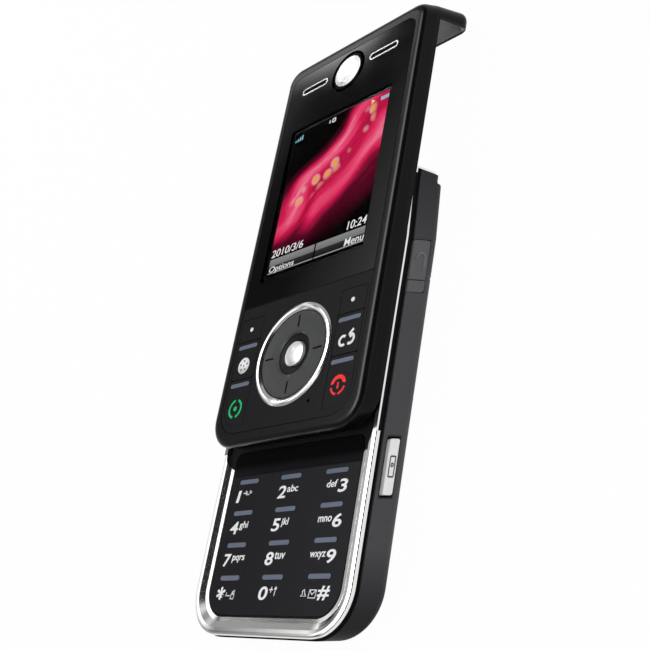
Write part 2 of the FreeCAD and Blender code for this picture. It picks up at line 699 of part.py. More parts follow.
def mid_frame():
    """The black deck that closes the housing, frames the keypad and carries the bright lines."""
    piece = Piece("mid_frame")
    piece.slab(base_plan(deck_inset), z_deck, z_rim)
    piece.hollow(side_taper(deck_inset), z_deck, z_rim)
    half = neck_half - deck_inset
    piece.slab(rectangle(-half, half, base_step - wall * 2, neck_end), z_deck, z_rim)
    lean_neck(piece, neck_end - end_sheet, z_deck, z_rim)
    half = keypad_half + fit_gap
    opening = rectangle(-half, half, keypad_low - fit_gap, keypad_high + fit_gap,
                        (keypad_corner, keypad_corner, keypad_top_corner, keypad_top_corner))
    piece.hollow(opening, z_deck, z_rim)
    # a shallow tray takes the carriage, and a slot lets the flexible circuit through
    half = rail_half + recess_extra
    tray = rectangle(-half, half, keypad_high + wall, base_step - wall, small_corner)
    piece.hollow(tray, z_rim - fit_gap * 2, z_rim)
    piece.hollow(flex_window(carriage_from + carriage_length / 4), z_deck, z_rim)
    # upstands carry the bright lines beside the slide
    piece.slab(mirrored(lambda side: side_strip(side, deck_inset, flare_end, neck_end - end_bend)),
               z_rim, z_rim_top - line_height)
    return piece


def chrome_frame():
    """The bright rim: a two-tier band swept round the keypad, side lines and the neck's end plate."""
    piece = Piece("chrome_frame")
    path = piece.sketch("XY_Plane", z_rim)
    left = -half_base
    right = half_base
    low = deck_inset - base_bottom
    corner = base_corner
    turn = FreeCAD.Vector(0, 0, 1)
    runs = []
    for side, start, stop in (
        (left, (left, flare_end), (left, low + corner)),
        (right, (left + corner, low), (right - corner, low)),
        (None, (right, low + corner), (right, flare_end)),
    ):
        runs.append(straight(path, start, stop))
        if side is None:
            continue
        middle = (left + corner) if side is left else (right - corner)
        first = math.pi if side is left else 1.5 * math.pi
        round_end = Part.Circle(FreeCAD.Vector(middle.value, (low + corner).value, 0), turn, corner.value)
        runs.append(path.addGeometry(Part.ArcOfCircle(round_end, first, first + math.pi / 2), False))
    for first, second in zip(runs, runs[1:]):
        path.addConstraint(Sketcher.Constraint("Tangent", first, 2, second, 1))
    for run in (runs[0], runs[4]):
        path.addConstraint(Sketcher.Constraint("Vertical", run))
    path.addConstraint(Sketcher.Constraint("Horizontal", runs[2]))
    for arc in (runs[1], runs[3]):
        held = path.addConstraint(Sketcher.Constraint("Radius", arc, corner.value))
        bind(path, f"Constraints[{held}]", corner)
    fix(path, runs[0], 1, left, flare_end)
    fix(path, runs[4], 2, right, flare_end)
    fix(path, runs[2], 1, along=low)
    # section of the band, seen along the sides: rounded edge, crown, inner bevel, foot
    section = piece.sketch("XZ_Plane", -flare_end)
    profile = [
        (left, z_rim), (left, z_rim_top - rim_round),
        (left + rim_round * 0.15, z_rim_top - rim_round * 0.58),
        (left + rim_round * 0.45, z_rim_top - rim_round * 0.26),
        (left + rim_round * 0.95, z_rim_top - rim_round * 0.07),
        (left + rim_round * 1.6, z_rim_top), (left + rim_crown, z_rim_top - rim_round * 0.1),
        (left + rim_crown + rim_bevel, z_rim_top - rim_bevel_drop),
        (-keypad_half - fit_gap, z_rim),
    ]
    polygon(profile)(section)
    pipe = piece.feature("AdditivePipe", Profile=section, Spine=(path, []))
    pipe.Transition = "Round corner"
    # the band narrows in a curve to the lines that run on beside the slide
    flare_across = half_base - rim_line - fit_gap - flare_radius
    flares = mirrored(lambda side: circle(flare_across * side, flare_end, flare_radius))
    piece.hollow(flares, z_rim, z_rim_top)
    bend_from = neck_end - end_bend
    piece.slab(mirrored(lambda side: side_strip(side, NOTHING, flare_end, bend_from)),
               z_rim_top - line_height, z_rim_top)
    # the end plate leans, and the lines bend down into its corners
    plate_low = neck_back + neck_round * 0.8
    plate = piece.sketch("YZ_Plane", -neck_half)
    inner_face = neck_end - end_sheet
    polygon([(neck_line(inner_face, plate_low), plate_low), (neck_line(neck_end, plate_low), plate_low),
             (neck_end, z_rim), (inner_face, z_rim)])(plate)
    piece.pad(plate, neck_half * 2)
    piece.round(neck_round / 2, lambda edge: level_edges(plate_low)(edge) and edge.BoundBox.XLength < 1e-3)
    for from_x in (-neck_half, neck_half - rim_line):
        bend = piece.sketch("YZ_Plane", from_x)
        polygon([(bend_from, z_rim), (neck_end, z_rim),
                 (neck_end - end_bend * 0.13, z_rim + rim_height * 0.5),
                 (neck_end - end_bend * 0.5, z_rim + rim_height * 0.87), (bend_from, z_rim_top)])(bend)
        piece.pad(bend, rim_line)
    return piece


def ordered(one, other):
    return (one, other) if one.value < other.value else (other, one)


def key_outline(column, row):
    """Outline of one keypad key; the lower outer keys follow the keypad's corners."""
    left = column_width * column - keypad_half
    bottom = keypad_low if row == 3 else keypad_low + last_row_height + key_pitch * (2 - row)
    height = last_row_height if row == 3 else key_pitch
    radii = [seam * 3] * 4
    if row == 3 and column == 0:
        radii[0] = keypad_corner - fit_gap
    if row == 3 and column == 2:
        radii[1] = keypad_corner - fit_gap
    return rectangle(left + seam / 2, left + column_width - seam / 2,
                     bottom + seam / 2, bottom + height - seam / 2, radii)


def keypad_key(label, column, row):
    """One key: a tile with a softened edge, a raised bar and the nub that presses its dome."""
    piece = Piece(label)
    top = z_rim + key_proud
    piece.slab(key_outline(column, row), top - key_thick, top)
    piece.round(edge_round, level_edges(top), "Chamfer")
    bar_y = keypad_low + last_row_height + key_pitch * (3 - row) - bar_drop
    bar_x = key_bar_across * (column - 1)
    piece.slab(slot(bar_x, bar_y, key_bar_length, bar_thick), top, top + bar_proud)
    piece.round(bar_proud * 0.55, level_edges(top + bar_proud))
    nub_x, nub_y = dome_place(column, row)
    nub_bottom = z_board_top + sheet_thick + dome_height + key_travel + fit_gap
    piece.slab(circle(nub_x, nub_y, nub_radius), nub_bottom, top - key_thick)
    return piece


def dome_place(column, row):
    bottom = keypad_low + last_row_height + key_pitch * (2 - row)
    return key_bar_across * (column - 1), bottom + key_pitch / 2


def keypad_panel():
    """The fixed strip of the keypad between the upper key row and the slide."""
    piece = Piece("keypad_panel")
    half = keypad_half - seam / 2
    piece.slab(rectangle(-half, half, keypad_rows_top + seam / 2, keypad_high,
                         (seam * 3, seam * 3, keypad_top_corner, keypad_top_corner)),
               z_deck + fit_gap, z_rim + key_proud)
    return piece


def key_domes():
    """The sheet of snap domes under the keypad."""
    piece = Piece("key_domes")
    half = board_half - floor
    low = z_board_top + sheet_thick
    piece.slab(rectangle(-half, half, keypad_low + floor, keypad_high - wall, small_corner), z_board_top, low)
    domes = [circle(*dome_place(column, row), dome_radius) for row in range(4) for column in range(3)]
    piece.slab(together(*domes), low, low + dome_height)
    piece.round(dome_height * 0.8, level_edges(low + dome_height), "Chamfer")
    return piece


def main_board():
    piece = Piece("main_board")
    outline = rectangle(-board_half, board_half, wall * 2 - base_bottom, base_step - wall * 2, board_corner)
    piece.slab(outline, z_board, z_board_top)
    return piece


def shield_cans():
    """Two drawn cans over the radio and the processor."""
    piece = Piece("shield_cans")
    low = keypad_high + wall
    high = base_step - wall * 4
    middle = (low + high) / 2
    half = board_half - wall * 1.5
    top = z_deck - fit_gap
    piece.slab(together(rectangle(-half, half, low, middle - floor, small_corner),
                        rectangle(-half, half, middle + floor, high, small_corner)), z_board_top, top)
    piece.round(edge_round * 3, level_edges(top))
    return piece


def antenna():
    """The antenna carrier in the lower chin."""
    piece = Piece("antenna")
    outline = rectangle(-antenna_half, antenna_half, wall + fit_gap * 4 - base_bottom,
                        bay_low - floor - fit_gap * 4, small_corner)
    piece.slab(outline, cover_floor + fit_gap, z_board - fit_gap * 2)
    return piece


def flat_part(label, left, right, bottom, top, low, high, corner=small_corner):
    piece = Piece(label)
    piece.slab(rectangle(left, right, bottom, top, corner), low, high)
    return piece


def vibration_motor():
    """A coin motor on its rubber ring."""
    piece = Piece("vibration_motor")
    seat = cover_floor + seat_gap
    piece.slab(circle(grille_across, camera_up, motor_radius), seat, seat + motor_depth)
    piece.round(motor_round, level_edges(seat + motor_depth))
    return piece


def loudspeaker():
    seat = cover_floor + seat_gap
    return flat_part("loudspeaker", -grille_across - speaker_width / 2, speaker_width / 2 - grille_across,
                     camera_up - speaker_length / 2, camera_up + speaker_length / 2,
                     seat, seat + speaker_depth, small_corner * 2)


def camera_module():
    piece = Piece("camera_module")
    seat = cover_floor + seat_gap
    half = camera_width / 2
    piece.slab(circle(0, camera_up, camera_glass - fit_gap * 3), seat, seat + camera_barrel)
    piece.slab(rectangle(-half, half, camera_up - half, camera_up + half, tight_corner),
               seat + camera_barrel, z_board - fit_gap)
    return piece


def camera_lens():
    """The window in the camera's bezel."""
    piece = Piece("camera_lens")
    piece.slab(circle(0, camera_up, camera_glass), fit_gap * 2, cover_floor)
    return piece


def usb_connector():
    """The connector behind the port cover: a folded shell round its tongue."""
    piece = Piece("usb_connector")
    face = half_base - port_thick - fit_gap
    mouth = piece.sketch("YZ_Plane", face)
    connector_outline(NOTHING)(mouth)
    piece.pad(mouth, connector_length, reverse=True)
    inside = piece.sketch("YZ_Plane", face)
    connector_outline(connector_sheet)(inside)
    piece.pocket(inside, connector_length - connector_sheet)
    tongue = piece.sketch("YZ_Plane", face - floor)
    half = connector_width / 2 - wall
    middle = connector_low + connector_height / 2
    rectangle(connector_middle - half, connector_middle + half,
              middle - tongue_thick / 2, middle + tongue_thick / 2)(tongue)
    piece.pad(tongue, connector_length - floor - connector_sheet / 2, reverse=True)
    return piece


def sim_holder():
    """The card holder in the roof of the battery bay."""
    return flat_part("sim_holder", -sim_width / 2, sim_width / 2,
                     battery_middle - sim_length / 2, battery_middle + sim_length / 2,
                     cover_floor + battery_thick + fit_gap * 2, z_side + bay_height - seat_gap)


def battery():
    """The flat battery with its rounded long edges."""
    piece = Piece("battery")
    low = cover_floor + fit_gap
    high = low + battery_thick
    piece.slab(rectangle(-battery_half, battery_half, battery_low, battery_high, small_corner), low, high)
    piece.round(battery_round, lambda edge: level_edges(low)(edge) or level_edges(high)(edge))
    return piece


def battery_cover():
    """The cover that slides off the back: rounded sides and end, open towards the upper cover."""
    piece = Piece("battery_cover")
    piece.slab(half_plan(half_base, -base_bottom, cover_top, base_corner, NOTHING), NOTHING, z_side)
    outside = wide_edges(NOTHING, half_base)

    def rounded(edge):
        end = edge.BoundBox.YMax < cover_top.value - 1e-3
        return level_edges(NOTHING)(edge) and (outside(edge) or end)

    piece.round(back_round, rounded)
    inset = wall + deck_inset / 2
    piece.hollow(half_plan(half_base - inset, inset - base_bottom, cover_top + wall,
                           base_corner - inset, NOTHING), cover_floor, z_side)
    # thumb grooves
    grip = piece.sketch("XY_Plane", NOTHING)
    for number in range(4):
        slot(0, cover_top - grip_drop - grip_pitch * number, grip_length - grip_step * number,
             groove_width)(grip)
    piece.pocket(grip, cover_floor * 0.3, reverse=True)
    return piece


def rear_top_cover():
    """The fixed cover at the camera's end, with the camera's bezel and the loudspeaker's slots."""
    piece = Piece("rear_top_cover")
    bottom = cover_top + cover_gap

    def section(along, half):
        made = piece.sketch("XZ_Plane", -along)
        rectangle(-half, half, NOTHING, z_side, (back_round, back_round, NOTHING, NOTHING))(made)
        return made

    piece.pad(section(bottom, half_base), taper_from - bottom, reverse=True)
    piece.loft("AdditiveLoft", [section(taper_from, half_base), section(base_step, neck_half)])
    piece.round(cover_end_round, lambda edge: edge.BoundBox.YMin > base_step.value - 1e-3
                and edge.BoundBox.ZMin < z_side.value - 1e-3)
    inset = wall + deck_inset / 2
    half = neck_half - inset
    piece.hollow(rectangle(-half, half, bottom - wall, base_step - inset, small_corner), cover_floor, z_side)
    bezel = piece.sketch("XY_Plane", NOTHING)
    circle(0, camera_up, camera_bezel)(bezel)
    piece.pocket(bezel, fit_gap * 1.5, reverse=True)
    window = piece.sketch("XY_Plane", NOTHING)
    circle(0, camera_up, camera_glass + seat_gap)(window)
    piece.pocket(window, cover_floor, reverse=True)
    grille = piece.sketch("XY_Plane", NOTHING)
    for number in range(-2, 3):
        slot(-grille_across, camera_up + grille_pitch * number,
             grille_length - grille_step * abs(number), groove_width)(grille)
    piece.pocket(grille, cover_floor, reverse=True)
    return piece


def side_key():
    """The silver key on the right side."""
    piece = Piece("side_key")
    seat = half_base - wall + recess_extra + fit_gap + side_key_travel
    face = half_base + side_key_proud
    back = piece.sketch("YZ_Plane", seat)
    rectangle(-side_key_from, side_key_length - side_key_from,
              side_key_low, side_key_low + side_key_wide, control_corner)(back)
    piece.pad(back, face - seat)
    piece.round(control_edge, lambda edge: edge.BoundBox.XMin > face.value - 1e-3)
    return piece


def volume_rocker():
    """The two-way rocker on the left side, thinned towards both ends so that it can tilt."""
    piece = Piece("volume_rocker")
    half = volume_length / 2
    seat = half_base - wall + recess_extra + fit_gap
    ends = recess_extra * 1.5
    face = side_key_proud
    plan = piece.sketch("XY_Plane", side_key_low)
    polygon([(-seat, -half * 0.1), (-seat, half * 0.1), (-seat - ends, half),
             (-half_base - face, half - ends), (-half_base - face - fit_gap, 0),
             (-half_base - face, ends - half), (-seat - ends, -half)])(plan)
    piece.pad(plan, side_key_wide)
    low, high = side_key_low, side_key_low + side_key_wide
    piece.round(control_edge, lambda edge: (level_edges(low)(edge) or level_edges(high)(edge))
                and edge.BoundBox.XMax < -half_base.value - 0.2)
    place(piece.body, 0, volume_from + half, 0)
    return piece


def flap_part(label, from_y, to_y, radii):
    """A length of the soft flap in the side's recess, rounded outside."""
    piece = Piece(label)
    face = half_base + port_proud
    back = face - port_thick + seat_gap
    side = piece.sketch("YZ_Plane", back)
    rectangle(from_y, to_y, port_low, port_low + port_wide, radii)(side)
    piece.pad(side, face - back)
    piece.round(flap_edge, lambda edge: edge.BoundBox.XMin > face.value - 1e-3)
    return piece


def port_cover():
    """The soft flap over the connector, with the lip that a nail lifts."""
    return flap_part("port_cover", port_from + port_tab + seat_gap, port_from + port_length,
                     (flap_edge, flap_corner, control_corner, flap_edge))


def port_hinge_tab():
    """The fixed end of the port cover, beyond its living hinge."""
    return flap_part("port_hinge_tab", port_from, port_from + port_tab - seat_gap,
                     (flap_corner, flap_edge, flap_edge, flap_edge))


def housing_screws():
    """Four screws under the battery cover, from the back into the side housing."""
    piece = Piece("housing_screws")
    piece.slab(together(*[circle(x, y, screw_head) for x, y in screw_places()]),
               z_side - screw_head * 0.8, z_side)
    piece.slab(together(*[circle(x, y, screw_radius) for x, y in screw_places()]),
               z_side, z_deck - fit_gap)
    return piece


# ------------------------------------------------------------- slide mechanism

def carriage_plate():
    """The folded plate on the deck whose outward flanges run in the rail plate's channels."""
    piece = Piece("carriage_plate")
    section = piece.sketch("XZ_Plane", -carriage_from)
    low = z_rim - fit_gap * 2 + seat_gap
    roof = z_slider - rail_sheet - run_gap
    lip_top = z_slider - rail_depth + rail_lip_thick
    tip = rail_half - rail_sheet - run_gap * 3
    web = rail_half - rail_sheet - rail_lip - run_gap * 2
    sheet_gauge = carriage_sheet
    right = [(web, low), (web, lip_top + run_gap), (tip, lip_top + run_gap), (tip, roof),
             (web - sheet_gauge, roof), (web - sheet_gauge, low + sheet_gauge)]
    left = [(-x, z) for x, z in reversed(right)]
    polygon(right + left)(section)
    piece.pad(section, carriage_length, reverse=True)
    piece.hollow(flex_window(carriage_from + carriage_length / 4), low, low + sheet_gauge)
    return piece


def rail_plate():
    """The long rail plate under the screen half: a sheet folded into two facing channels."""
    piece = Piece("rail_plate")
    section = piece.sketch("XZ_Plane", -rail_from)
    low = z_slider - rail_depth
    top = z_slider - seat_gap
    under = z_slider - rail_sheet
    wall_in = rail_half - rail_sheet
    right = [(rail_half, top), (rail_half, low), (wall_in - rail_lip, low),
             (wall_in - rail_lip, low + rail_lip_thick), (wall_in, low + rail_lip_thick), (wall_in, under)]
    left = [(-x, z) for x, z in reversed(right)]
    polygon(right + left)(section)
    piece.pad(section, rail_length, reverse=True)
    piece.hollow(flex_window(rail_from + rail_length / 2), under, top)
    return piece


def slide_springs():
    """Two torsion springs that throw the slide open or shut, lying flat between the plates."""
    height = (z_rim - fit_gap + carriage_sheet + z_slider - rail_sheet) / 2
    shapes = []
    for side in (1, -1):
        name = "right" if side > 0 else "left"
        coil = doc.addObject("Part::Torus", f"{name}_coil")
        bind(coil, "Radius1", spring_coil)
        bind(coil, "Radius2", spring_wire)
        place(coil, spring_across * side, carriage_from + carriage_length / 2, height)
        shapes.append(coil)
        for end, tilt in ((1, 22.0), (-1, -22.0)):
            arm = doc.addObject("Part::Cylinder", f"{name}_arm_{'upper' if end > 0 else 'lower'}")
            bind(arm, "Radius", spring_wire * 0.98)
            bind(arm, "Height", spring_coil * 3)
            arm.Placement = FreeCAD.Placement(FreeCAD.Vector(), turned((1, 0, 0), -90.0 * end)
                                              .multiply(turned((0, 1, 0), tilt * side * 0.2)))
            place(arm, (spring_across - spring_coil) * side, carriage_from + carriage_length / 2, height)
            shapes.append(arm)
    made = doc.addObject("Part::MultiFuse", "slide_springs")
    made.Label = "slide_springs"
    made.Shapes = shapes
    return made


def slide_flex():
    """The flexible circuit, folded back on itself between the two halves."""
    piece = Piece("slide_flex")
    low = z_rim + carriage_sheet
    high = z_slider - rail_sheet - run_gap
    gauge = sheet_thick * 0.8
    near = carriage_from + carriage_length / 4
    far = carriage_from + carriage_length * 0.75
    fold = piece.sketch("YZ_Plane", -flex_width / 2)
    polygon([(near, low), (far, low), (far, high), (near, high), (near, high - gauge),
             (far - gauge, high - gauge), (far - gauge, low + gauge), (near, low + gauge)])(fold)
    piece.pad(fold, flex_width)
    return piece


# ---------------------------------------------------------------- screen half

def slider_front():
    """The glossy front housing: rounded edge, panel recess and ledge, hollow inside."""
    piece = Piece("slider_front")
    piece.slab(slider_plan(), z_split, z_face)
    piece.round(face_round, level_edges(z_face))
    panel = half_plan(face_half, face_bottom, face_top, panel_corner, panel_top_corner)
    piece.hollow(panel, z_panel, z_face)
    through = half_plan(face_half - panel_ledge, face_bottom + panel_ledge, face_top - panel_ledge,
                        panel_corner - panel_ledge, panel_top_corner - panel_ledge)
    piece.hollow(through, z_split, z_panel)
    piece.hollow(slider_plan(wall), z_split, z_panel - floor)
    return piece


def slider_rear():
    """The rear housing of the screen half, with the lip that caps the neck of the other half."""
    piece = Piece("slider_rear")
    piece.slab(slider_plan(), z_slider, z_split)

    def across_lip(height, half, mouth, end, corner):
        """The lip's outline at a height; mouth and end are its places at its root."""
        depth = z_slider - height
        made = piece.sketch("XY_Plane", height)
        rectangle(-half, half, mouth - depth * mouth_lean, end - depth * lip_lean,
                  (NOTHING, NOTHING, corner, corner))(made)
        return made

    outside = (half_slider, lip_start, slider_top, slider_top_corner)
    piece.loft("AdditiveLoft", [across_lip(height, *outside) for height in (z_slider, lip_back)])

    def beyond_mouth(height):
        mouth = lip_start - (z_slider - height) * mouth_lean
        return lambda edge: level_edges(height)(edge) and edge.BoundBox.YMax > mouth.value + 1e-3

    # the cup follows the outside: open at the mouth, rounded at its end and along its floor
    cup_floor = lip_back + lip_floor
    inside = (half_slider - lip_wall, lip_start - wall, slider_top - lip_end_wall,
              slider_top_corner - lip_wall)
    piece.loft("SubtractiveLoft", [across_lip(height, *inside) for height in (z_slider, cup_floor)])
    piece.round(lip_round - lip_wall, beyond_mouth(cup_floor))
    piece.round(lip_round, beyond_mouth(lip_back))
    piece.hollow(slider_plan(wall), z_slider + floor, z_split)
    return piece


def display_lens():
    """The window over the display, with the openings of the earpiece and the badge."""
    piece = Piece("display_lens")
    half = face_half - fit_gap
    corner = panel_top_corner - fit_gap
    piece.slab(rectangle(-half, half, seam_line + seam / 2, face_top - fit_gap,
                         (tight_corner, tight_corner, corner, corner)), z_panel + seat_gap, z_face)
    piece.round(edge_round, level_edges(z_face), "Chamfer")
    slots = mirrored(lambda side: slot(slot_across * side, slider_top - slot_drop,
                                       slot_length + fit_gap, slot_width + fit_gap))
    badge = circle(0, slider_top - badge_drop, badge_recess)
    piece.hollow(together(slots, badge), z_panel, z_face)
    return piece


def nav_plate():
    """The satin panel round the ring, with the wells of the two key columns."""
    piece = Piece("nav_plate")
    top = z_face - seat_gap
    half = face_half - fit_gap
    corner = panel_corner - fit_gap
    piece.slab(rectangle(-half, half, face_bottom + fit_gap, seam_line - seam / 2,
                         (corner, corner, tight_corner, tight_corner)), z_panel + seat_gap, top)
    piece.round(edge_round, level_edges(top), "Chamfer")
    low = nav_top - soft_key_height - media_key_height - call_key_height - seam * 2
    columns = mirrored(lambda side: rectangle(
        *ordered(nav_key_inner * side, nav_key_outer * side), low, nav_top,
        key_radii(side, tight_corner, call_corner, tight_corner)))
    hole = circle(microphone_across, slider_bottom + microphone_up, microphone_hole)
    piece.hollow(together(columns, circle(0, ring_middle, ring_outer + seat_gap), hole), z_panel, top)
    return piece


def key_radii(side, inner, outer_low, upper):
    """Corner radii of a face key on the given side: the outer lower one follows the panel's corner."""
    return (inner, outer_low, upper, upper) if side > 0 else (outer_low, inner, upper, upper)


def face_key(name, side, level, has_bar):
    """One face key: soft key (0), media key (1) or call key (2), with its raised bar or dot."""
    heights = (soft_key_height, media_key_height, call_key_height)
    high = nav_top - seam
    for above in heights[:level]:
        high = high - above - seam
    low = high - heights[level] + seam
    high = high if level == 0 else high + seam / 2
    piece = Piece(name)
    top = z_face - seat_gap
    left, right = ordered((nav_key_inner + seam) * side, (nav_key_outer - seam) * side)
    outer_low = call_corner - seam if level == 2 else tight_corner
    piece.slab(rectangle(left, right, low, high, key_radii(side, tight_corner, outer_low, tight_corner)),
               top - key_thick, top)
    piece.round(edge_round, level_edges(top), "Chamfer")
    middle = (left + right) / 2
    if has_bar:
        mark = slot(middle, high - bar_drop, right - left - bar_margin * 2, bar_thick)
    else:
        mark = circle(middle, (low + high) / 2, dot_radius)
    piece.slab(mark, top, top + bar_proud)
    piece.round(bar_proud * 0.55, level_edges(top + bar_proud))
    piece.slab(circle(middle, (low + high) / 2, nub_radius), nub_bottom_front, top - key_thick)
    return piece


def face_dome_places():
    """Where the face keys, the wheel's four nubs and the select button press."""
    places = []
    middle = (nav_key_inner + nav_key_outer) / 2
    high = nav_top
    for height in (soft_key_height, media_key_height, call_key_height):
        places += [(middle * side, high - height / 2) for side in (1, -1)]
        high = high - height - seam
    for across, along in QUARTERS + ((0, 0),):
        places.append((wheel_nub_reach * across, ring_middle + wheel_nub_reach * along))
    return places


def nav_ring():
    """The polished ring round the wheel, turned to a crowned section."""
    piece = Piece("nav_ring")
    inner = ring_outer - ring_width
    outer = ring_outer - fit_gap
    top = z_face + ring_proud
    shoulder = top - ring_proud * 0.25
    section = piece.sketch("XZ_Plane", 0)
    polygon([(inner, z_panel + seat_gap), (outer, z_panel + seat_gap), (outer, z_face),
             (ring_outer - ring_width * 0.3, shoulder), (ring_outer - ring_width * 0.5, top),
             (ring_outer - ring_width * 0.72, shoulder), (inner, z_face - ring_proud * 0.4)])(section)
    piece.turn(section)
    place(piece.body, 0, ring_middle, 0)
    return piece


def nav_wheel():
    """The four-way wheel: a dished annulus with an engraved tick at each quarter."""
    piece = Piece("nav_wheel")
    outer = ring_outer - ring_width - wheel_gap
    top = z_face - seat_gap
    low = top - key_thick
    section = piece.sketch("XZ_Plane", 0)
    polygon([(well_radius, low), (outer, low), (outer, top - wheel_crown), (outer - wheel_crown, top),
             (outer - wheel_crown * 10, top - wheel_dish), (well_radius + wheel_lip, top - wheel_dish),
             (well_radius, top - wheel_lip)])(section)
    piece.turn(section)
    tick = piece.sketch("XY_Plane", top)
    rectangle(-tick_width / 2, tick_width / 2, well_radius + tick_inner, outer - tick_outer,
              tick_width / 4)(tick)
    cut = piece.pocket(tick, tick_depth)
    ticks = piece.feature("PolarPattern", Originals=[cut], Angle=360.0, Occurrences=4,
                          Axis=(tick, ["N_Axis"]))
    piece.body.Tip = ticks
    place(piece.body, 0, ring_middle, 0)
    return piece


def nav_rocker():
    """The soft pad that carries the wheel: the well's dish and the four nubs under it."""
    piece = Piece("nav_rocker")
    plate_top = z_face - seat_gap - key_thick - recess_extra
    plate_low = plate_top - floor
    bore = select_radius + wheel_gap
    rim = well_radius - wheel_gap - seat_gap
    outer = ring_outer - ring_width - floor
    section = piece.sketch("XZ_Plane", 0)
    polygon([(bore, plate_low), (outer, plate_low), (outer, plate_top), (rim, plate_top),
             (rim, z_face - pad_lip), (bore, z_face - pad_dish)])(section)
    piece.turn(section)
    reach = wheel_nub_reach
    nubs = [circle(reach * across, reach * along, wheel_nub) for across, along in QUARTERS]
    piece.slab(together(*nubs), nub_bottom_front, plate_low)
    place(piece.body, 0, ring_middle, 0)
    return piece


def select_button():
    """The domed select button: a short pin cut to a ball's crown."""
    ball_radius = select_radius * 1.9
    crown = z_face + select_proud
    pin = doc.addObject("Part::Cylinder", "select_pin")
    bind(pin, "Radius", select_radius)
    bind(pin, "Height", crown - nub_bottom_front)
    place(pin, 0, ring_middle, nub_bottom_front)
    ball = doc.addObject("Part::Sphere", "select_ball")
    bind(ball, "Radius", ball_radius)
    place(ball, 0, ring_middle, crown - ball_radius)
    made = doc.addObject("Part::Common", "select_button")
    made.Label = "select_button"
    made.Base = pin
    made.Tool = ball
    return made


def nav_domes():
    """The sheet of snap domes under the face keys and the wheel."""
    piece = Piece("nav_domes")
    low = z_board_front_top + sheet_thick
    top = low + dome_height
    piece.slab(front_board_outline(), z_board_front_top, low)
    piece.slab(together(*[circle(x, y, dome_radius * 0.9) for x, y in face_dome_places()]), low, top)
    piece.round(dome_height * 0.8, level_edges(top), "Chamfer")
    return piece


def slider_board():
    piece = Piece("slider_board")
    piece.slab(front_board_outline(), z_board_front, z_board_front_top)
    return piece


def front_board_outline():
    half = half_slider - wall * 2
    return rectangle(-half, half, slider_bottom + wall * 2, seam_line,
                     (board_corner, board_corner, tight_corner, tight_corner))


def lcd_module():
    """The display in its pressed frame."""
    half = half_slider - display_margin
    low = seam_line + display_up
    return flat_part("lcd_module", -half, half, low, low + display_length,
                     z_slider + floor + seat_gap, z_panel - seat_gap)


def earpiece_speaker():
    half = receiver_length / 2
    middle = slider_top - slot_drop
    return flat_part("earpiece_speaker", -receiver_width / 2, receiver_width / 2,
                     middle - half, middle + half, z_slider + floor + seat_gap, z_panel - floor)


def earpiece_slots():
    """The two bright rims of the earpiece."""
    piece = Piece("earpiece_slots")
    along = slider_top - slot_drop
    top = z_face + seat_gap * 2
    rims = mirrored(lambda side: slot(slot_across * side, along, slot_length, slot_width))
    floors = mirrored(lambda side: slot(slot_across * side, along,
                                        slot_length - slot_rim * 2, slot_width - slot_rim * 2))
    piece.slab(rims, z_panel + seat_gap, top)
    piece.hollow(floors, top - slot_rim, top)
    return piece


def badge_disc():
    """A plain domed disc in the recess above the display."""
    piece = Piece("badge_disc")
    top = z_face + badge_proud
    low = z_panel + seat_gap
    section = piece.sketch("XZ_Plane", 0)
    polygon([(NOTHING, low), (badge_radius, low), (badge_radius, top - badge_proud * 1.5),
             (badge_radius - badge_proud, top - badge_proud * 0.7),
             (badge_radius * 0.62, top - badge_proud * 0.2), (badge_radius * 0.3, top),
             (NOTHING, top)])(section)
    piece.turn(section)
    place(piece.body, 0, slider_top - badge_drop, 0)
    return piece


def microphone():
    along = slider_bottom + microphone_up
    low = z_board_front_top + sheet_thick + seat_gap
    return flat_part("microphone", microphone_across - microphone_width / 2,
                     microphone_across + microphone_width / 2, along - microphone_length / 2,
                     along + microphone_length / 2, low, low + microphone_depth)


def rail_rivets():
    """Four rivets that hold the rail plate to the rear housing."""
    piece = Piece("rail_rivets")
    places = [(rivet_across * side, rail_from + rail_length * part)
              for side in (1, -1) for part in (0.06, 0.94)]
    top = z_slider - rail_sheet
    piece.slab(together(*[circle(x, y, rivet_radius) for x, y in places]), top - rivet_head, top)
    piece.round(rivet_head * 0.6, level_edges(top - rivet_head))
    return piece


KEY_NAMES = (
    ("key_1", "key_2", "key_3"),
    ("key_4", "key_5", "key_6"),
    ("key_7", "key_8", "key_9"),
    ("key_star", "key_0", "key_hash"),
)
FACE_KEYS = (
    ("key_soft_left", -1, 0, False), ("key_soft_right", 1, 0, False),
    ("key_media", -1, 1, True), ("key_back", 1, 1, True),
    ("key_call", -1, 2, True), ("key_end", 1, 2, True),
)
MAKERS = (
    rear_housing, mid_frame, chrome_frame, keypad_panel, key_domes, main_board, shield_cans, antenna,
    vibration_motor, loudspeaker, camera_module, camera_lens, usb_connector, sim_holder, battery,
    battery_cover, rear_top_cover, side_key, volume_rocker, port_cover, port_hinge_tab, housing_screws,
    carriage_plate, rail_plate, slide_springs, slide_flex, slider_front, slider_rear, display_lens,
    nav_plate, nav_ring, nav_wheel, nav_rocker, select_button, nav_domes, slider_board, lcd_module,
    earpiece_speaker, earpiece_slots, badge_disc, microphone, rail_rivets,
)

subparts = []
for maker in MAKERS:
    made = maker()
    subparts.append(made.body if isinstance(made, Piece) else made)
for row, names in enumerate(KEY_NAMES):
    for column, name in enumerate(names):
        subparts.append(keypad_key(name, column, row).body)
for name, side, level, has_bar in FACE_KEYS:
    subparts.append(face_key(name, side, level, has_bar).body)

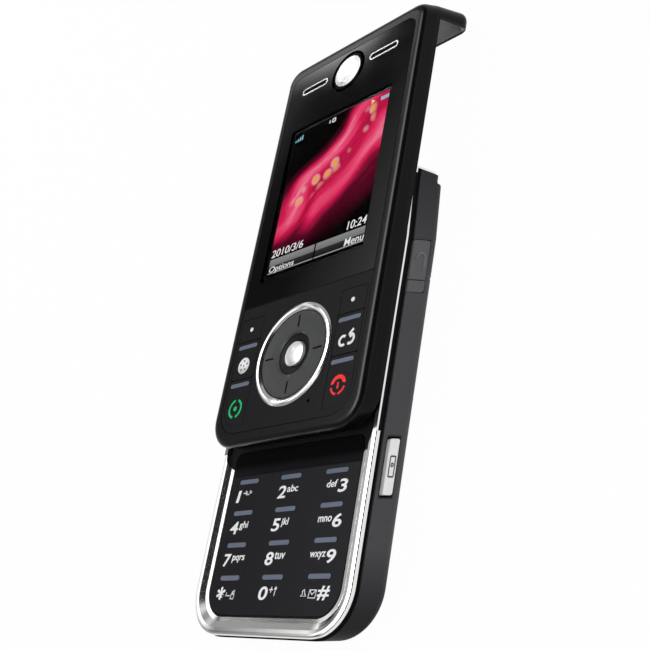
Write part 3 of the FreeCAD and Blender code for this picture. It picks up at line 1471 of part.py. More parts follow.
doc.recompute()
for thing in doc.Objects:
    if {"Invalid", "Error"} & set(thing.State):
        raise ValueError(f"{thing.Name} failed: {thing.State}")
for thing in subparts:
    if thing.Shape.isNull() or not thing.Shape.isValid():
        raise ValueError(f"{thing.Label} has no valid shape")
    thing.Shape.exportStep(f"parts/{thing.Label}.step")
print(len(subparts), "pieces")
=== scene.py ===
"""Finishes, markings, display picture and stage of a slider phone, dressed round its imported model."""

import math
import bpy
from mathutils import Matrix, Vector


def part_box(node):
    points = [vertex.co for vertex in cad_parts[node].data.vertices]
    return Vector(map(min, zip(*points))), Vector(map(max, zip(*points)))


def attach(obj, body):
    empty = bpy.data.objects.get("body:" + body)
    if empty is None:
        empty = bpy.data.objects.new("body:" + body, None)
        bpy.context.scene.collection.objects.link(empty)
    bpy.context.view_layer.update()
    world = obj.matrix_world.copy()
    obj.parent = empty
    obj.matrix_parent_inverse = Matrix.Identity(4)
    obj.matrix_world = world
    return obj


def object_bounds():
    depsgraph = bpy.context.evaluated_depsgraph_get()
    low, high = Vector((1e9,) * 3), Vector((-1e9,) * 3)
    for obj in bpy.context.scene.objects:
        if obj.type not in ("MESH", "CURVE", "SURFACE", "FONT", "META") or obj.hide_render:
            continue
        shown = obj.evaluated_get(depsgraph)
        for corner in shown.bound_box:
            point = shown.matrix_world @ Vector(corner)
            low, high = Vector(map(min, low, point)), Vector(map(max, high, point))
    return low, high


bl_info = {
    "name": "Slider Phone Finishes",
    "version": (1, 0, 0),
    "blender": (4, 5, 0),
    "location": "View3D > Sidebar > Slider Phone",
    "description": "Dresses a slider phone: finishes, printed legends, display picture, lamps and camera",
    "category": "Object",
}

import bmesh
import bpy
from bpy.props import FloatProperty, FloatVectorProperty, IntProperty, PointerProperty, StringProperty
from functools import cached_property
from mathutils import Matrix, Vector
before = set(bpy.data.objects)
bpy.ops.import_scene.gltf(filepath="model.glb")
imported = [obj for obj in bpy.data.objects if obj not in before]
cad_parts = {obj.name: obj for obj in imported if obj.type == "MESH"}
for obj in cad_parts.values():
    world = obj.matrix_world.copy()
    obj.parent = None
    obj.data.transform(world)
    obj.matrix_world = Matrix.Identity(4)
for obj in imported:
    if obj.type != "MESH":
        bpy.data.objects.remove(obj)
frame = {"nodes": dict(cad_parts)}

CAD_BOX = [list(corner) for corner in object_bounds()]
MM = 0.001
TAB = "Slider Phone"


def top_of(node):
    """Height of a node's highest point."""
    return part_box(node)[1][2]


def middle_of(node):
    """Middle of a node's box."""
    low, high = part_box(node)
    return (Vector(low) + Vector(high)) / 2


def half_of(node):
    """Half of a node's size along each axis."""
    low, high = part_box(node)
    return (Vector(high) - Vector(low)) / 2


def at(x, y):
    """A place in the plane, from millimetres."""
    return Vector((x, y)) * MM


def grey(level):
    return (level, level, level)


def shade(colour, factor):
    """A colour made darker or paler."""
    return [min(1.0, part * factor) for part in colour]


# Sizes and colours a user would change

def number_setting(name, default, description, **more):
    return FloatProperty(name=name, description=description, default=default, **more)


def word_setting(name, default, description):
    return StringProperty(name=name, description=description, default=default)


def length_setting(name, default, description):
    return number_setting(name, default, description, unit="LENGTH")


def angle_setting(name, degrees, description):
    return number_setting(name, math.radians(degrees), description, subtype="ANGLE", unit="ROTATION")


def colour_setting(name, default, description):
    return FloatVectorProperty(name=name, description=description, default=default, subtype="COLOR",
                               size=3, min=0, max=1)


class FilmSettings(bpy.types.PropertyGroup):
    """Printing on the keypad and on the navigation plate."""

    digit_height: length_setting("Digit height", 2.5 * MM, "Height of a printed digit")
    ascender: length_setting("Ascender", 1.4 * MM, "Height of a tall small letter")
    x_height: length_setting("x height", 1.05 * MM, "Height of a small letter without a stem")
    descender: length_setting("Descender", 0.4 * MM, "Depth of a letter's tail below its line")
    digit_weight: number_setting("Digit weight", 0.02, "How much bolder the digits are than the face")
    letter_weight: number_setting("Letter weight", 0.016, "How much bolder the letters are than the face")
    mark_stroke: length_setting("Mark stroke", 0.22 * MM, "Stroke width of the small marks")
    seam_cover: length_setting("Seam cover", 0.035 * MM, "How far the film reaches over a key's seam")
    legend_drop: length_setting("Legend drop", 1.95 * MM, "From a key's bar down to the top of its digit")
    ink_lift: length_setting("Ink thickness", 0.02 * MM, "How far printed ink stands on its surface")
    ink: colour_setting("Ink", (0.86, 0.87, 0.88), "Colour of the printed legends")
    bar: colour_setting("Bars", (0.135, 0.16, 0.215), "Colour of the raised bars")
    call: colour_setting("Call", (0.0, 0.48, 0.14), "Colour of the call mark")
    end: colour_setting("End", (0.9, 0.03, 0.03), "Colour of the end mark")


class ScreenSettings(bpy.types.PropertyGroup):
    """What the display shows."""

    width: length_setting("Picture width", 30.5 * MM, "Width of the lit picture")
    height: length_setting("Picture height", 38.1 * MM, "Height of the lit picture")
    middle: length_setting("Picture place", 49.4 * MM, "Place of the picture's middle along the phone")
    aside: length_setting("Picture offset", 0.3 * MM, "How far the picture sits left of the middle")
    clock: word_setting("Clock", "10:24", "Time shown")
    day: word_setting("Day", "2010/3/6", "Date shown")
    left_word: word_setting("Left word", "Options", "Word over the left soft key")
    right_word: word_setting("Right word", "Menu", "Word over the right soft key")
    glow: number_setting("Glow", 1.0, "Strength of the backlight", min=0, max=4)
    deep: colour_setting("Deep", (0.1, 0.002, 0.016), "Darkest colour of the picture")
    bright: colour_setting("Bright", (0.76, 0.012, 0.09), "Brightest colour of the picture")
    amber: colour_setting("Amber", (1.0, 0.42, 0.03), "Colour of the small round lights")


class StageSettings(bpy.types.PropertyGroup):
    """Floor, backdrop, lamps and camera."""

    floor_radius: length_setting("Floor radius", 1.1, "Radius of the flat floor")
    backdrop_height: length_setting("Backdrop height", 0.12, "Height of the curved backdrop")
    backdrop_bend: length_setting("Backdrop bend", 0.1, "Radius of the bend from floor to backdrop")
    backdrop_sides: IntProperty(
        name="Backdrop sides", description="Straight pieces round the backdrop", default=96, min=12)
    lamp_strength: number_setting("Lamp strength", 9.0, "Power of the large lamp in watts", min=0)
    sky: number_setting("Sky", 0.5, "Level of the plain light from all round", min=0)
    focal_length: number_setting("Focal length", 54.171, "Focal length of the camera in mm", min=1)
    camera_place: FloatVectorProperty(
        name="Camera place", description="Where the camera stands", default=(0.20916, -0.0376, 0.20792),
        size=3, subtype="TRANSLATION", unit="LENGTH")
    azimuth: angle_setting("Azimuth", 61.6909, "Camera's axis, anticlockwise from the keypad's end")
    elevation: angle_setting("Elevation", 12.9121, "Tilt of the camera's axis above the floor")
    roll: angle_setting("Roll", -83.601, "Turn of the camera about its axis")
    lean: number_setting("Lean", 0.47174, "Sideways lean of the film for each unit of height")
    film_offset: FloatVectorProperty(
        name="Film offset", description="Place of the film's middle off the axis, in focal lengths",
        default=(0.43838, -0.30216), size=2)


# Shader expressions

def maths(operation, turned=False):
    """A method of a wire that adds a Math node, with the wire itself last where turned."""
    def method(self, *others):
        values = (*others, self) if turned else (self, *others)
        return self.finish.node("ShaderNodeMath", {"operation": operation}, values)
    return method


class Wire:
    """An output socket that takes part in arithmetic: each operation adds a Math node."""

    def __init__(self, finish, socket):
        self.finish = finish
        self.socket = socket

    __add__ = __radd__ = maths("ADD")
    __sub__ = maths("SUBTRACT")
    __rsub__ = maths("SUBTRACT", turned=True)
    __mul__ = __rmul__ = maths("MULTIPLY")
    __truediv__ = maths("DIVIDE")
    __gt__ = maths("GREATER_THAN")
    __lt__ = maths("LESS_THAN")
    __abs__ = maths("ABSOLUTE")
    sine = maths("SINE")
    larger = maths("MAXIMUM")

    def between(self, low, high):
        """0 at low and below, 1 at high and above, and an even slope between them."""
        return self.finish.node("ShaderNodeMapRange", {"clamp": True},
                                {"Value": self, "From Min": low, "From Max": high})

    def within(self, low, high, end, beyond):
        """1 from high to end, with an even slope to 0 at low and at beyond."""
        return self.between(low, high) * (1.0 - self.between(end, beyond))


class Finish:
    """One material, or the world, and its nodes."""

    def __init__(self, name, owner=None):
        self.owner = owner or bpy.data.materials.new(name)
        self.owner.use_nodes = True
        self.tree = self.owner.node_tree
        self.shader = self.tree.nodes.get("Principled BSDF")

    def node(self, kind, settings=None, inputs=(), output=0):
        """Adds a node, sets it up, feeds its sockets and returns one of its outputs."""
        made = self.tree.nodes.new(kind)
        for key, value in (settings or {}).items():
            if key == "stops":
                self.set_stops(made.color_ramp, value)
            else:
                setattr(made, key, value)
        pairs = inputs.items() if isinstance(inputs, dict) else enumerate(inputs)
        for key, value in pairs:
            self.feed(made.inputs[key], value)
        return Wire(self, made.outputs[output])

    def set_stops(self, ramp, stops):
        while len(ramp.elements) < len(stops):
            ramp.elements.new(0.5)
        for element, (place, colour) in zip(ramp.elements, stops):
            element.position = place
            element.color = (*colour, 1)

    def feed(self, socket, value):
        if isinstance(value, Wire):
            self.tree.links.new(value.socket, socket)
        elif hasattr(value, "__len__") and len(value) < len(socket.default_value):
            socket.default_value = (*value, 1)
        else:
            socket.default_value = value

    def set(self, **sockets):
        """Sets or links the shader's sockets: base_color stands for Base Color. Returns the material."""
        for key, value in sockets.items():
            self.feed(self.shader.inputs[key.replace("_", " ").title().replace("Ior", "IOR")], value)
        return self.owner

    @cached_property
    def point(self):
        """Where a point is on its own piece, in metres."""
        return self.node("ShaderNodeTexCoord", output="Object")

    @cached_property
    def place(self):
        """The three parts of the point."""
        return self.parts(self.point)

    def parts(self, vector):
        """The three parts of a vector."""
        return [self.node("ShaderNodeSeparateXYZ", None, (vector,), axis) for axis in range(3)]

    def ray(self, kind):
        """1 where what is seen or lit is reached by a ray of this kind."""
        return self.node("ShaderNodeLightPath", output=f"Is {kind} Ray")

    def noise(self, size, detail=2.0, roughness=0.5, point=None):
        """Soft noise whose features measure about size metres."""
        return self.node("ShaderNodeTexNoise", None, {"Vector": point or self.point, "Scale": 1 / size,
                                                      "Detail": detail, "Roughness": roughness})

    def cells(self, size, randomness):
        """How far a point lies from the middle of its cell, where cells measure about size metres."""
        return self.node("ShaderNodeTexVoronoi", {"feature": "F1"},
                         {"Vector": self.point, "Scale": 1 / size, "Randomness": randomness})

    def mix(self, factor, first, second, kind="MIX"):
        """Mixes two colours."""
        made = self.node("ShaderNodeMix", {"data_type": "RGBA", "blend_type": kind}, {}, 2)
        inputs = made.socket.node.inputs
        self.feed(inputs["Factor"], factor)
        self.feed(inputs[6], first)
        self.feed(inputs[7], second)
        return made

    def bump(self, height, depth):
        """Surface relief: a height of 0 to 1 stands for depth metres."""
        return self.node("ShaderNodeBump", None, {"Height": height, "Distance": depth, "Strength": 1.0})

    def grain(self, roughness, spread, size, relief):
        """Fine grain and a slightly uneven gloss. Returns the broad unevenness, for the tone."""
        fine = self.noise(size, 3.0, 0.6)
        broad = self.noise(9 * MM, 3.0, 0.55)
        self.set(roughness=roughness + spread * (fine * 0.6 + broad * 0.4 - 0.5),
                 normal=self.bump(fine, relief))
        return broad

    def blend(self, factor, second):
        """Shows a second shader in place of the finish's own by a factor. Returns the material."""
        own = Wire(self, self.shader.outputs[0])
        both = self.node("ShaderNodeMixShader", None, (factor, own, second))
        self.feed(self.tree.nodes["Material Output"].inputs["Surface"], both)
        return self.owner


def moulded(name, colour, roughness, grain=0.12 * MM, relief=0.006 * MM, spread=0.12, tone=0.12, **more):
    """Moulded or painted surface: fine grain, slightly uneven gloss and tone."""
    finish = Finish(name)
    broad = finish.grain(roughness, spread, grain, relief)
    return finish.set(base_color=finish.mix(broad, shade(colour, 1 - tone), shade(colour, 1 + tone)), **more)


def polished_metal(name, colour, roughness):
    """Plated trim: almost a mirror, with faint handling haze and a slight waviness."""
    finish = Finish(name)
    haze = finish.noise(4 * MM, 4.0, 0.6)
    wave = finish.noise(1.6 * MM, 1.0, 0.4)
    return finish.set(base_color=finish.mix(haze, colour, shade(colour, 0.93)), metallic=1.0,
                      roughness=roughness + 0.06 * (haze - 0.5), normal=finish.bump(wave, 0.0015 * MM))


def rolled_steel(name, colour, roughness):
    """Sheet steel with rolling lines along the phone."""
    finish = Finish(name)
    stretched = finish.node("ShaderNodeVectorMath", {"operation": "MULTIPLY"},
                            (finish.point, (1.0, 0.04, 1.0)))
    lines = finish.noise(0.09 * MM, 3.0, 0.6, stretched)
    stain = finish.noise(6 * MM)
    return finish.set(base_color=finish.mix(stain, colour, shade(colour, 0.8)), metallic=1.0,
                      roughness=roughness + 0.18 * (lines - 0.5), normal=finish.bump(lines, 0.004 * MM))


def film_with_bars(name, colour, raised_colour, roughness, tops, ior=1.26, painted_shadow_from=None):
    """Printed film: what stands above its top shows another colour, and a strip may carry a painted shadow
    that darkens it to black.
    """
    finish = Finish(name)
    _, along, height = finish.place
    grain = finish.noise(0.1 * MM)
    broad = finish.noise(7 * MM)
    raised = (height - tops).between(0.03 * MM, 0.07 * MM)
    plain = finish.mix(broad, shade(colour, 0.85), shade(colour, 1.15))
    bars = finish.mix(broad, shade(raised_colour, 0.85), shade(raised_colour, 1.1))
    # painted shadow: from this place along the film on, the colour darkens to black over 1.3 mm
    if painted_shadow_from is not None:
        plain = finish.mix(along.between(painted_shadow_from, painted_shadow_from + 1.3 * MM), plain, grey(0.0008))
    return finish.set(base_color=finish.mix(raised, plain, bars), roughness=roughness + 0.08 * (grain - 0.5),
                      ior=ior, normal=finish.bump(grain, 0.003 * MM))


def ink(name, colour, ior=1.4):
    """Printed ink: very slightly uneven."""
    finish = Finish(name)
    speck = finish.noise(0.05 * MM)
    return finish.set(base_color=finish.mix(speck, shade(colour, 0.94), colour), ior=ior,
                      roughness=0.5 + 0.1 * (speck - 0.5), normal=finish.bump(speck, 0.002 * MM))


def lit_ink(name, colour):
    """What the display shows in one colour."""
    finish = Finish(name)
    speck = finish.noise(0.15 * MM, 1.0)
    return finish.set(base_color=grey(0.01), roughness=0.4, emission_strength=1.0,
                      emission_color=finish.mix(speck, colour, shade(colour, 0.85)))


def dress(material, *nodes):
    """Gives CAD nodes their material."""
    for node in nodes:
        slots = frame["nodes"][node].data.materials
        slots.clear()
        slots.append(material)


# Meshes made here

def into_scene(name, data):
    """Makes an object in the scene."""
    made = bpy.data.objects.new(name, data)
    bpy.context.scene.collection.objects.link(made)
    return made


def add_piece(name, mesh, material, body, smooth=True):
    """Puts a mesh into the scene as a piece that rides on a body."""
    piece = into_scene(name, mesh)
    mesh.materials.clear()
    mesh.materials.append(material)
    for face in mesh.polygons:
        face.use_smooth = smooth
    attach(piece, body)


def mesh_of(curve):
    """The mesh of a curve or a word."""
    holder = into_scene(curve.name, curve)
    graph = bpy.context.evaluated_depsgraph_get()
    mesh = bpy.data.meshes.new_from_object(holder.evaluated_get(graph))
    bpy.data.objects.remove(holder)
    return mesh


def rounded_path(points, radius, closed):
    """The points of a polyline whose corners are replaced by arcs."""
    steps, straight, share = 4, math.radians(178), 0.48
    count = len(points)
    path = []
    for number, corner in enumerate(points):
        if not closed and number in (0, count - 1):
            path.append(corner)
            continue
        to_last = points[number - 1] - corner
        to_next = points[(number + 1) % count] - corner
        turn = to_last.angle(to_next, math.pi)
        if turn > straight:
            path.append(corner)
            continue
        reach = min(radius / math.tan(turn / 2), to_last.length * share, to_next.length * share)
        start = corner + to_last.normalized() * reach
        end = corner + to_next.normalized() * reach
        for step in range(steps + 1):
            part = step / steps
            path.append(start.lerp(corner, part).lerp(corner.lerp(end, part), part))
    return path


class Drawing:
    """Ink strokes gathered into one flat mesh."""

    def __init__(self, name):
        self.curve = bpy.data.curves.new(name, "CURVE")
        self.curve.dimensions = "3D"

    def stroke(self, points, radius=0.0, closed=False):
        path = rounded_path([Vector(point).to_3d() for point in points], radius, closed)
        spline = self.curve.splines.new("POLY")
        spline.points.add(len(path) - 1)
        for point, place in zip(spline.points, path):
            point.co = (*place, 1)
        spline.use_cyclic_u = closed
        return self

    def ring(self, middle, radius, start=0.0, end=360.0, steps=24):
        """Part of a circle, in degrees anticlockwise from the right."""
        closed = abs(end - start) >= 360
        count = steps if closed else steps + 1
        angles = [math.radians(start + (end - start) * number / steps) for number in range(count)]
        points = [(middle[0] + radius * math.cos(angle), middle[1] + radius * math.sin(angle))
                  for angle in angles]
        return self.stroke(points, 0.0, closed)

    def mesh(self, width, lift, height):
        """The strokes as flattened tubes that stand lift above the given height."""
        self.curve.bevel_depth = width / 2
        self.curve.bevel_resolution = 1
        self.curve.use_fill_caps = True
        mesh = mesh_of(self.curve)
        flat = Matrix.Diagonal((1, 1, 2 * lift / width, 1))
        mesh.transform(Matrix.Translation((0, 0, height)) @ flat)
        return mesh

    def put(self, width, lift, height, material, body):
        """Puts the drawing onto a body."""
        add_piece(self.curve.name, self.mesh(width, lift, height), material, body)


# Small marks in strokes. Each stroke is a run of points, two characters a point: column, then row, in
# hexadecimal. A dot closes the stroke.
MARKS = {
    "dash": ["2666"], "tape": ["030514242313.", "535564747363.", "1252"], "cup": ["06030363"],
    "lock": ["00606606.", "165A5656", "16195B59"], "plus": ["0545", "2327"], "arrow": ["202A", "072A47"],
    "letter": ["00909707.", "074397"], "bell": ["02726354381624."],
}
MARK_SLANT = 0.16
WORD_SLANT = 0.1


def mark(drawing, name, corner, cell):
    """Draws one small mark with its lower left corner at corner."""
    for run in MARKS[name]:
        signs = run.rstrip(".")
        places = [(int(signs[i], 16), int(signs[i + 1], 16)) for i in range(0, len(signs), 2)]
        drawing.stroke([(corner[0] + (column + row * MARK_SLANT) * cell, corner[1] + row * cell)
                        for column, row in places], 0.0, run.endswith("."))


def typeset(name, text, box, height, lift, weight, material, body):
    """Prints a word in the plain built-in face, fitted into its left, bottom, right and top."""
    curve = bpy.data.curves.new(name, "FONT")
    curve.body = text
    curve.shear = WORD_SLANT
    curve.offset = weight
    curve.size = 1.0
    curve.extrude = 0.5
    mesh = mesh_of(curve)
    xs = [vertex.co.x for vertex in mesh.vertices]
    ys = [vertex.co.y for vertex in mesh.vertices]
    across = (box[2] - box[0]) / (max(xs) - min(xs))
    along = (box[3] - box[1]) / (max(ys) - min(ys))
    move = Matrix.Translation((box[0] - min(xs) * across, box[1] - min(ys) * along, height + lift / 2))
    mesh.transform(move @ Matrix.Diagonal((across, along, lift, 1)))
    add_piece(name, mesh, material, body, smooth=False)


def on_right(mesh, node):
    """Turns a mesh drawn flat at height 0 onto a node's right face: across becomes along, up becomes out."""
    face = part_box(node)[1][0]
    mesh.transform(Matrix(((0, 0, 1, face), (1, 0, 0, 0), (0, 1, 0, 0), (0, 0, 0, 1))))
    return mesh


def stitch(work, rings):
    """Joins closed rings of points by walls, each to the next, and returns their vertices."""
    rings = [[work.verts.new(point) for point in ring] for ring in rings]
    for low, high in zip(rings, rings[1:]):
        for number in range(len(low)):
            after = (number + 1) % len(low)
            work.faces.new((low[number], low[after], high[after], high[number]))
    return rings


def finished_mesh(name, work):
    mesh = bpy.data.meshes.new(name)
    work.to_mesh(mesh)
    work.free()
    return mesh


def plates(name, outlines, bottom, top):
    """Flat plates with the given outlines, in one mesh."""
    work = bmesh.new()
    for outline in outlines:
        low, high = stitch(work, [[(x, y, z) for x, y in outline] for z in (bottom, top)])
        work.faces.new(high)
        work.faces.new(list(reversed(low)))
    return finished_mesh(name, work)


def disc_outline(middle, radius, sides=32):
    angles = [math.tau * number / sides for number in range(sides)]
    return [(middle[0] + radius * math.cos(angle), middle[1] + radius * math.sin(angle)) for angle in angles]


# Operators: one for each piece or group of like pieces

class Dresser:
    """What the operators of this file share."""

    bl_options = {"REGISTER", "UNDO"}

    @classmethod
    def poll(cls, context):
        return bool(frame["nodes"])


class PHONE_OT_casings(Dresser, bpy.types.Operator):
    """Gives the housings, covers and deck of both halves their finish"""

    bl_idname = "phone.casings"
    bl_label = "Casings"

    def execute(self, context):
        dress(self.lacquered_black(), "slider_front")
        dress(self.lined_black(), "slider_rear")
        dress(self.charcoal_with_painted_shade(), "rear_housing", "rear_top_cover", "battery_cover")
        dress(moulded("matt_black", (0.003, 0.003, 0.0034), 0.6, ior=1.15), "mid_frame")
        return {"FINISHED"}

    def lacquered_black(self):
        """Black plastic with a clear lacquer on its face that thins out down the sides."""
        finish = Finish("gloss_black")
        _, _, height = finish.place
        haze = finish.noise(5 * MM, 3.0, 0.6)
        peel = finish.noise(0.6 * MM)
        lacquer_end = top_of("slider_front") - 1.6 * MM
        return finish.set(base_color=finish.mix(haze, (0.0022, 0.0022, 0.0026), (0.0032, 0.0032, 0.0038)),
                          ior=1.15, roughness=0.3 + 0.1 * (haze - 0.5), coat_ior=1.2, coat_roughness=0.16,
                          coat_weight=(height - lacquer_end).between(0.0, 0.6 * MM),
                          normal=finish.bump(peel, 0.0005 * MM))

    def lined_black(self):
        """Satin black housing whose cup has a grey lining."""
        finish = Finish("satin_black")
        across, along, height = finish.place
        broad = finish.grain(0.36, 0.12, 0.12 * MM, 0.005 * MM)
        # the cup lies inside the lip's walls, and its end wall leans with height
        half, near, far, floor, roof = [value * MM for value in (21.92, 80.0, 86.2, 1.15, 10.96)]
        lean = 0.12
        cup = ((abs(across) < half) * (along > near) * (along - height * lean < far)
               * (height > floor) * (height < roof))
        black = finish.mix(broad, (0.003, 0.003, 0.0035), (0.0045, 0.0045, 0.0052))
        return finish.set(base_color=finish.mix(cup, black, grey(0.3)), ior=1.16)

    def charcoal_with_painted_shade(self):
        """Painted housing with fine grain, and painted shade: its colour darkens, and its coat thins, towards
        its rounded back edge, its foot, its upper end and round the side key.
        """
        finish = Finish("satin_charcoal")
        across, along, height = finish.place
        broad = finish.grain(0.5, 0.1, 0.12 * MM, 0.006 * MM)
        # painted shade: darker towards the rounded back edge, the foot and the upper end
        back_edge_shade = height.between(0.4 * MM, 2.6 * MM)
        foot = along.between(-45 * MM, -31 * MM)
        upper = 1.0 - along.between(18 * MM, 44 * MM) * 0.6
        # painted shade: the colour stays dark round the side key, as in a recess
        key, half = middle_of("side_key"), half_of("side_key")
        beside = abs(along - key.y) - half.y
        above = abs(height - key.z) - half.z
        dish_shade = beside.larger(above).between(0.35 * MM, 0.8 * MM).larger(across < 0.0)
        # 1 where the housing is shown lit, less where painted shade falls; the coat follows the same painted
        # light
        lit = back_edge_shade * foot * upper * dish_shade
        tone = finish.mix(lit, (0.006, 0.006, 0.007), (0.042, 0.04, 0.046))
        uneven = finish.mix(broad, grey(0.9), grey(1.0))
        return finish.set(base_color=finish.mix(1.0, tone, uneven, "MULTIPLY"), ior=1.12, coat_weight=lit,
                          coat_ior=1.32, coat_roughness=0.42)


class PHONE_OT_bright_trim(Dresser, bpy.types.Operator):
    """Plates the keypad's rim, the wheel's ring, the earpiece rims and the badge"""

    bl_idname = "phone.bright_trim"
    bl_label = "Bright trim"

    def execute(self, context):
        dress(polished_metal("rim_chrome", (0.83, 0.83, 0.82), 0.13), "chrome_frame")
        dress(polished_metal("ring_chrome", (0.86, 0.86, 0.86), 0.16), "nav_ring")
        dress(self.spun_chrome(), "badge_disc")
        dress(self.slotted_chrome(), "earpiece_slots")
        silver = moulded("select_silver", grey(0.64), 0.3, grain=0.05 * MM, relief=0.001 * MM, metallic=0.4)
        dress(silver, "select_button")
        return {"FINISHED"}

    def spun_chrome(self):
        """Plated disc with the fine rings of its turning and a black outer edge."""
        finish = Finish("badge_chrome")
        middle = middle_of("badge_disc")
        reach = finish.node("ShaderNodeVectorMath", {"operation": "DISTANCE"},
                            (finish.point, tuple(middle)), "Value")
        ring_pitch = 0.32 * MM
        rings = (reach * (math.tau / ring_pitch)).sine() * 0.5 + 0.5
        haze = finish.noise(1.5 * MM, 3.0, 0.6)
        edge = reach.between(3.95 * MM, 4.05 * MM)
        bright = finish.mix(haze, (0.76, 0.76, 0.77), (0.62, 0.62, 0.63))
        return finish.set(base_color=finish.mix(edge, bright, grey(0.004)), metallic=1.0,
                          roughness=0.24 + 0.08 * (haze - 0.5), normal=finish.bump(rings, 0.0022 * MM))

    def slotted_chrome(self):
        """Chrome rims round slots with a dark cloth deep inside."""
        finish = Finish("slotted_chrome")
        _, _, height = finish.place
        rim = (height - top_of("earpiece_slots")).between(-0.3 * MM, -0.2 * MM)
        weave = finish.cells(0.25 * MM, 0.1)
        haze = finish.noise(2 * MM, 3.0, 0.6)
        cloth = finish.mix(weave, grey(0.001), grey(0.004))
        bright = finish.mix(haze, (0.36, 0.36, 0.37), (0.3, 0.3, 0.31))
        return finish.set(base_color=finish.mix(rim, cloth, bright), metallic=rim, roughness=0.7 - rim * 0.52,
                          ior=1.12, normal=finish.bump(weave, 0.01 * MM))


class PHONE_OT_side_pieces(Dresser, bpy.types.Operator):
    """Finishes the side key, the volume rocker and the port cover, with their small marks"""

    bl_idname = "phone.side_pieces"
    bl_label = "Side pieces"

    def execute(self, context):
        silver = moulded("silver_paint", (0.88, 0.88, 0.87), 0.3, grain=0.04 * MM, relief=0.001 * MM,
                         spread=0.06, tone=0.05)
        rubber = moulded("soft_elastomer", (0.07, 0.068, 0.074), 0.5, grain=0.09 * MM)
        dress(silver, "side_key", "volume_rocker")
        dress(rubber, "port_cover", "port_hinge_tab")
        self.camera_mark()
        self.port_mark()
        return {"FINISHED"}

    def camera_mark(self):
        """A small camera on the side key."""
        middle = middle_of("side_key").yz
        wide, tall = 1.9 * MM, 0.7 * MM
        body = [middle + Vector(corner)
                for corner in ((-wide, -tall), (wide, -tall), (wide, tall), (-wide, tall))]
        signs = Drawing("camera_mark").stroke(body, 0.2 * MM, True)
        signs.ring(middle + at(0.3, 0), 0.3 * MM, steps=12)
        signs.stroke([middle + Vector((-wide * 0.7, tall)), middle + Vector((-wide * 0.2, tall))])
        mesh = on_right(signs.mesh(0.32 * MM, 0.02 * MM, 0.0), "side_key")
        add_piece("camera_mark", mesh, ink("camera_mark_ink", grey(0.05)), "side_key")

    def port_mark(self):
        """The raised hook moulded on the port cover, in a paler rubber that is a painted highlight."""
        bow, radius = middle_of("port_cover").yz + at(0.3, -0.2), 1.25 * MM
        foot = bow - Vector((0, radius))
        hook = Drawing("port_mark").ring(bow, radius, -90, 100, 14).stroke([foot, foot - at(2.3, 0)])
        mesh = on_right(hook.mesh(0.5 * MM, 0.25 * MM, 0.0), "port_cover")
        # painted highlight: the hook's rubber is paler than the cover's, standing in for the light the raised
        # hook catches
        highlight_rubber = moulded("raised_elastomer_painted_highlight", (0.13, 0.127, 0.135), 0.5, grain=0.09 * MM)
        add_piece("port_mark", mesh, highlight_rubber, "port_cover")


class PHONE_OT_films(Dresser, bpy.types.Operator):
    """Finishes the keypad's film and the navigation plate with its wheel"""

    bl_idname = "phone.films"
    bl_label = "Keypad and navigation films"

    def execute(self, context):
        film = context.scene.phone_film
        tone = (0.0036, 0.0033, 0.005)
        # the strip above the keys carries a painted shadow that darkens it to black towards the slider; its
        # film is paler than the keys' to stand in for the sheen its lower gloss loses, a painted sheen
        strip = [part + 0.005 for part in tone]
        painted_shadow_start = -13.9 * MM
        deck = top_of("keypad_panel")
        dress(film_with_bars("keypad_film", tone, film.bar, 0.22, deck), *KEYPAD)
        dress(film_with_bars("keypad_strip_painted_shadow", strip, film.bar, 0.3, deck, 1.08, painted_shadow_start), "keypad_panel")
        face_top = top_of("nav_plate")
        face = (0.0036, 0.0036, 0.0046)
        dress(film_with_bars("nav_film", face, film.bar, 0.22, face_top), "nav_plate", *FACE_KEYS[2:])
        dress(film_with_bars("soft_key_film", face, film.ink, 0.22, face_top), *FACE_KEYS[:2])
        wheel = moulded("wheel_film", (0.042, 0.043, 0.044), 0.3, grain=0.08 * MM, relief=0.003 * MM,
                        ior=1.35)
        dress(wheel, "nav_wheel")
        dress(moulded("rocker_rubber", grey(0.003), 0.4, ior=1.2), "nav_rocker")
        return {"FINISHED"}


# From the upper left key on: key, digit, its width in mm, its letters and their width in mm. In the third
# column the letters stand on the left.
LEGENDS = (
    ("key_1", "1", 1.3, "", 0.0), ("key_2", "2", 2.4, "abc", 3.2), ("key_3", "3", 2.4, "def", 2.9),
    ("key_4", "4", 2.5, "ghi", 2.8), ("key_5", "5", 2.4, "jkl", 2.2), ("key_6", "6", 2.4, "mno", 3.7),
    ("key_7", "7", 2.3, "pqrs", 3.9), ("key_8", "8", 2.4, "tuv", 3.0), ("key_9", "9", 2.4, "wxyz", 4.2),
    ("key_star", "*", 2.6, "", 0.0), ("key_0", "0", 2.6, "", 0.0), ("key_hash", "#", 3.2, "", 0.0),
)
# A key's small marks: mark, its place from the digit's lower left corner in mm, its cell in mm
KEY_MARKS = {
    "key_1": (("dash", 1.55, 0.9, 0.16), ("tape", 2.5, 1.0, 0.27)),
    "key_star": (("cup", 2.9, 0.2, 0.2), ("lock", 4.5, 0.2, 0.15)),
    "key_0": (("plus", 2.8, 0.6, 0.26), ("arrow", 4.2, 0.75, 0.17)),
    "key_hash": (("letter", -2.3, 0.4, 0.2), ("bell", -4.4, 0.3, 0.2)),
}
KEYPAD = tuple(key for key, *_ in LEGENDS)
FACE_KEYS = ("key_soft_left", "key_soft_right", "key_media", "key_back", "key_call", "key_end")


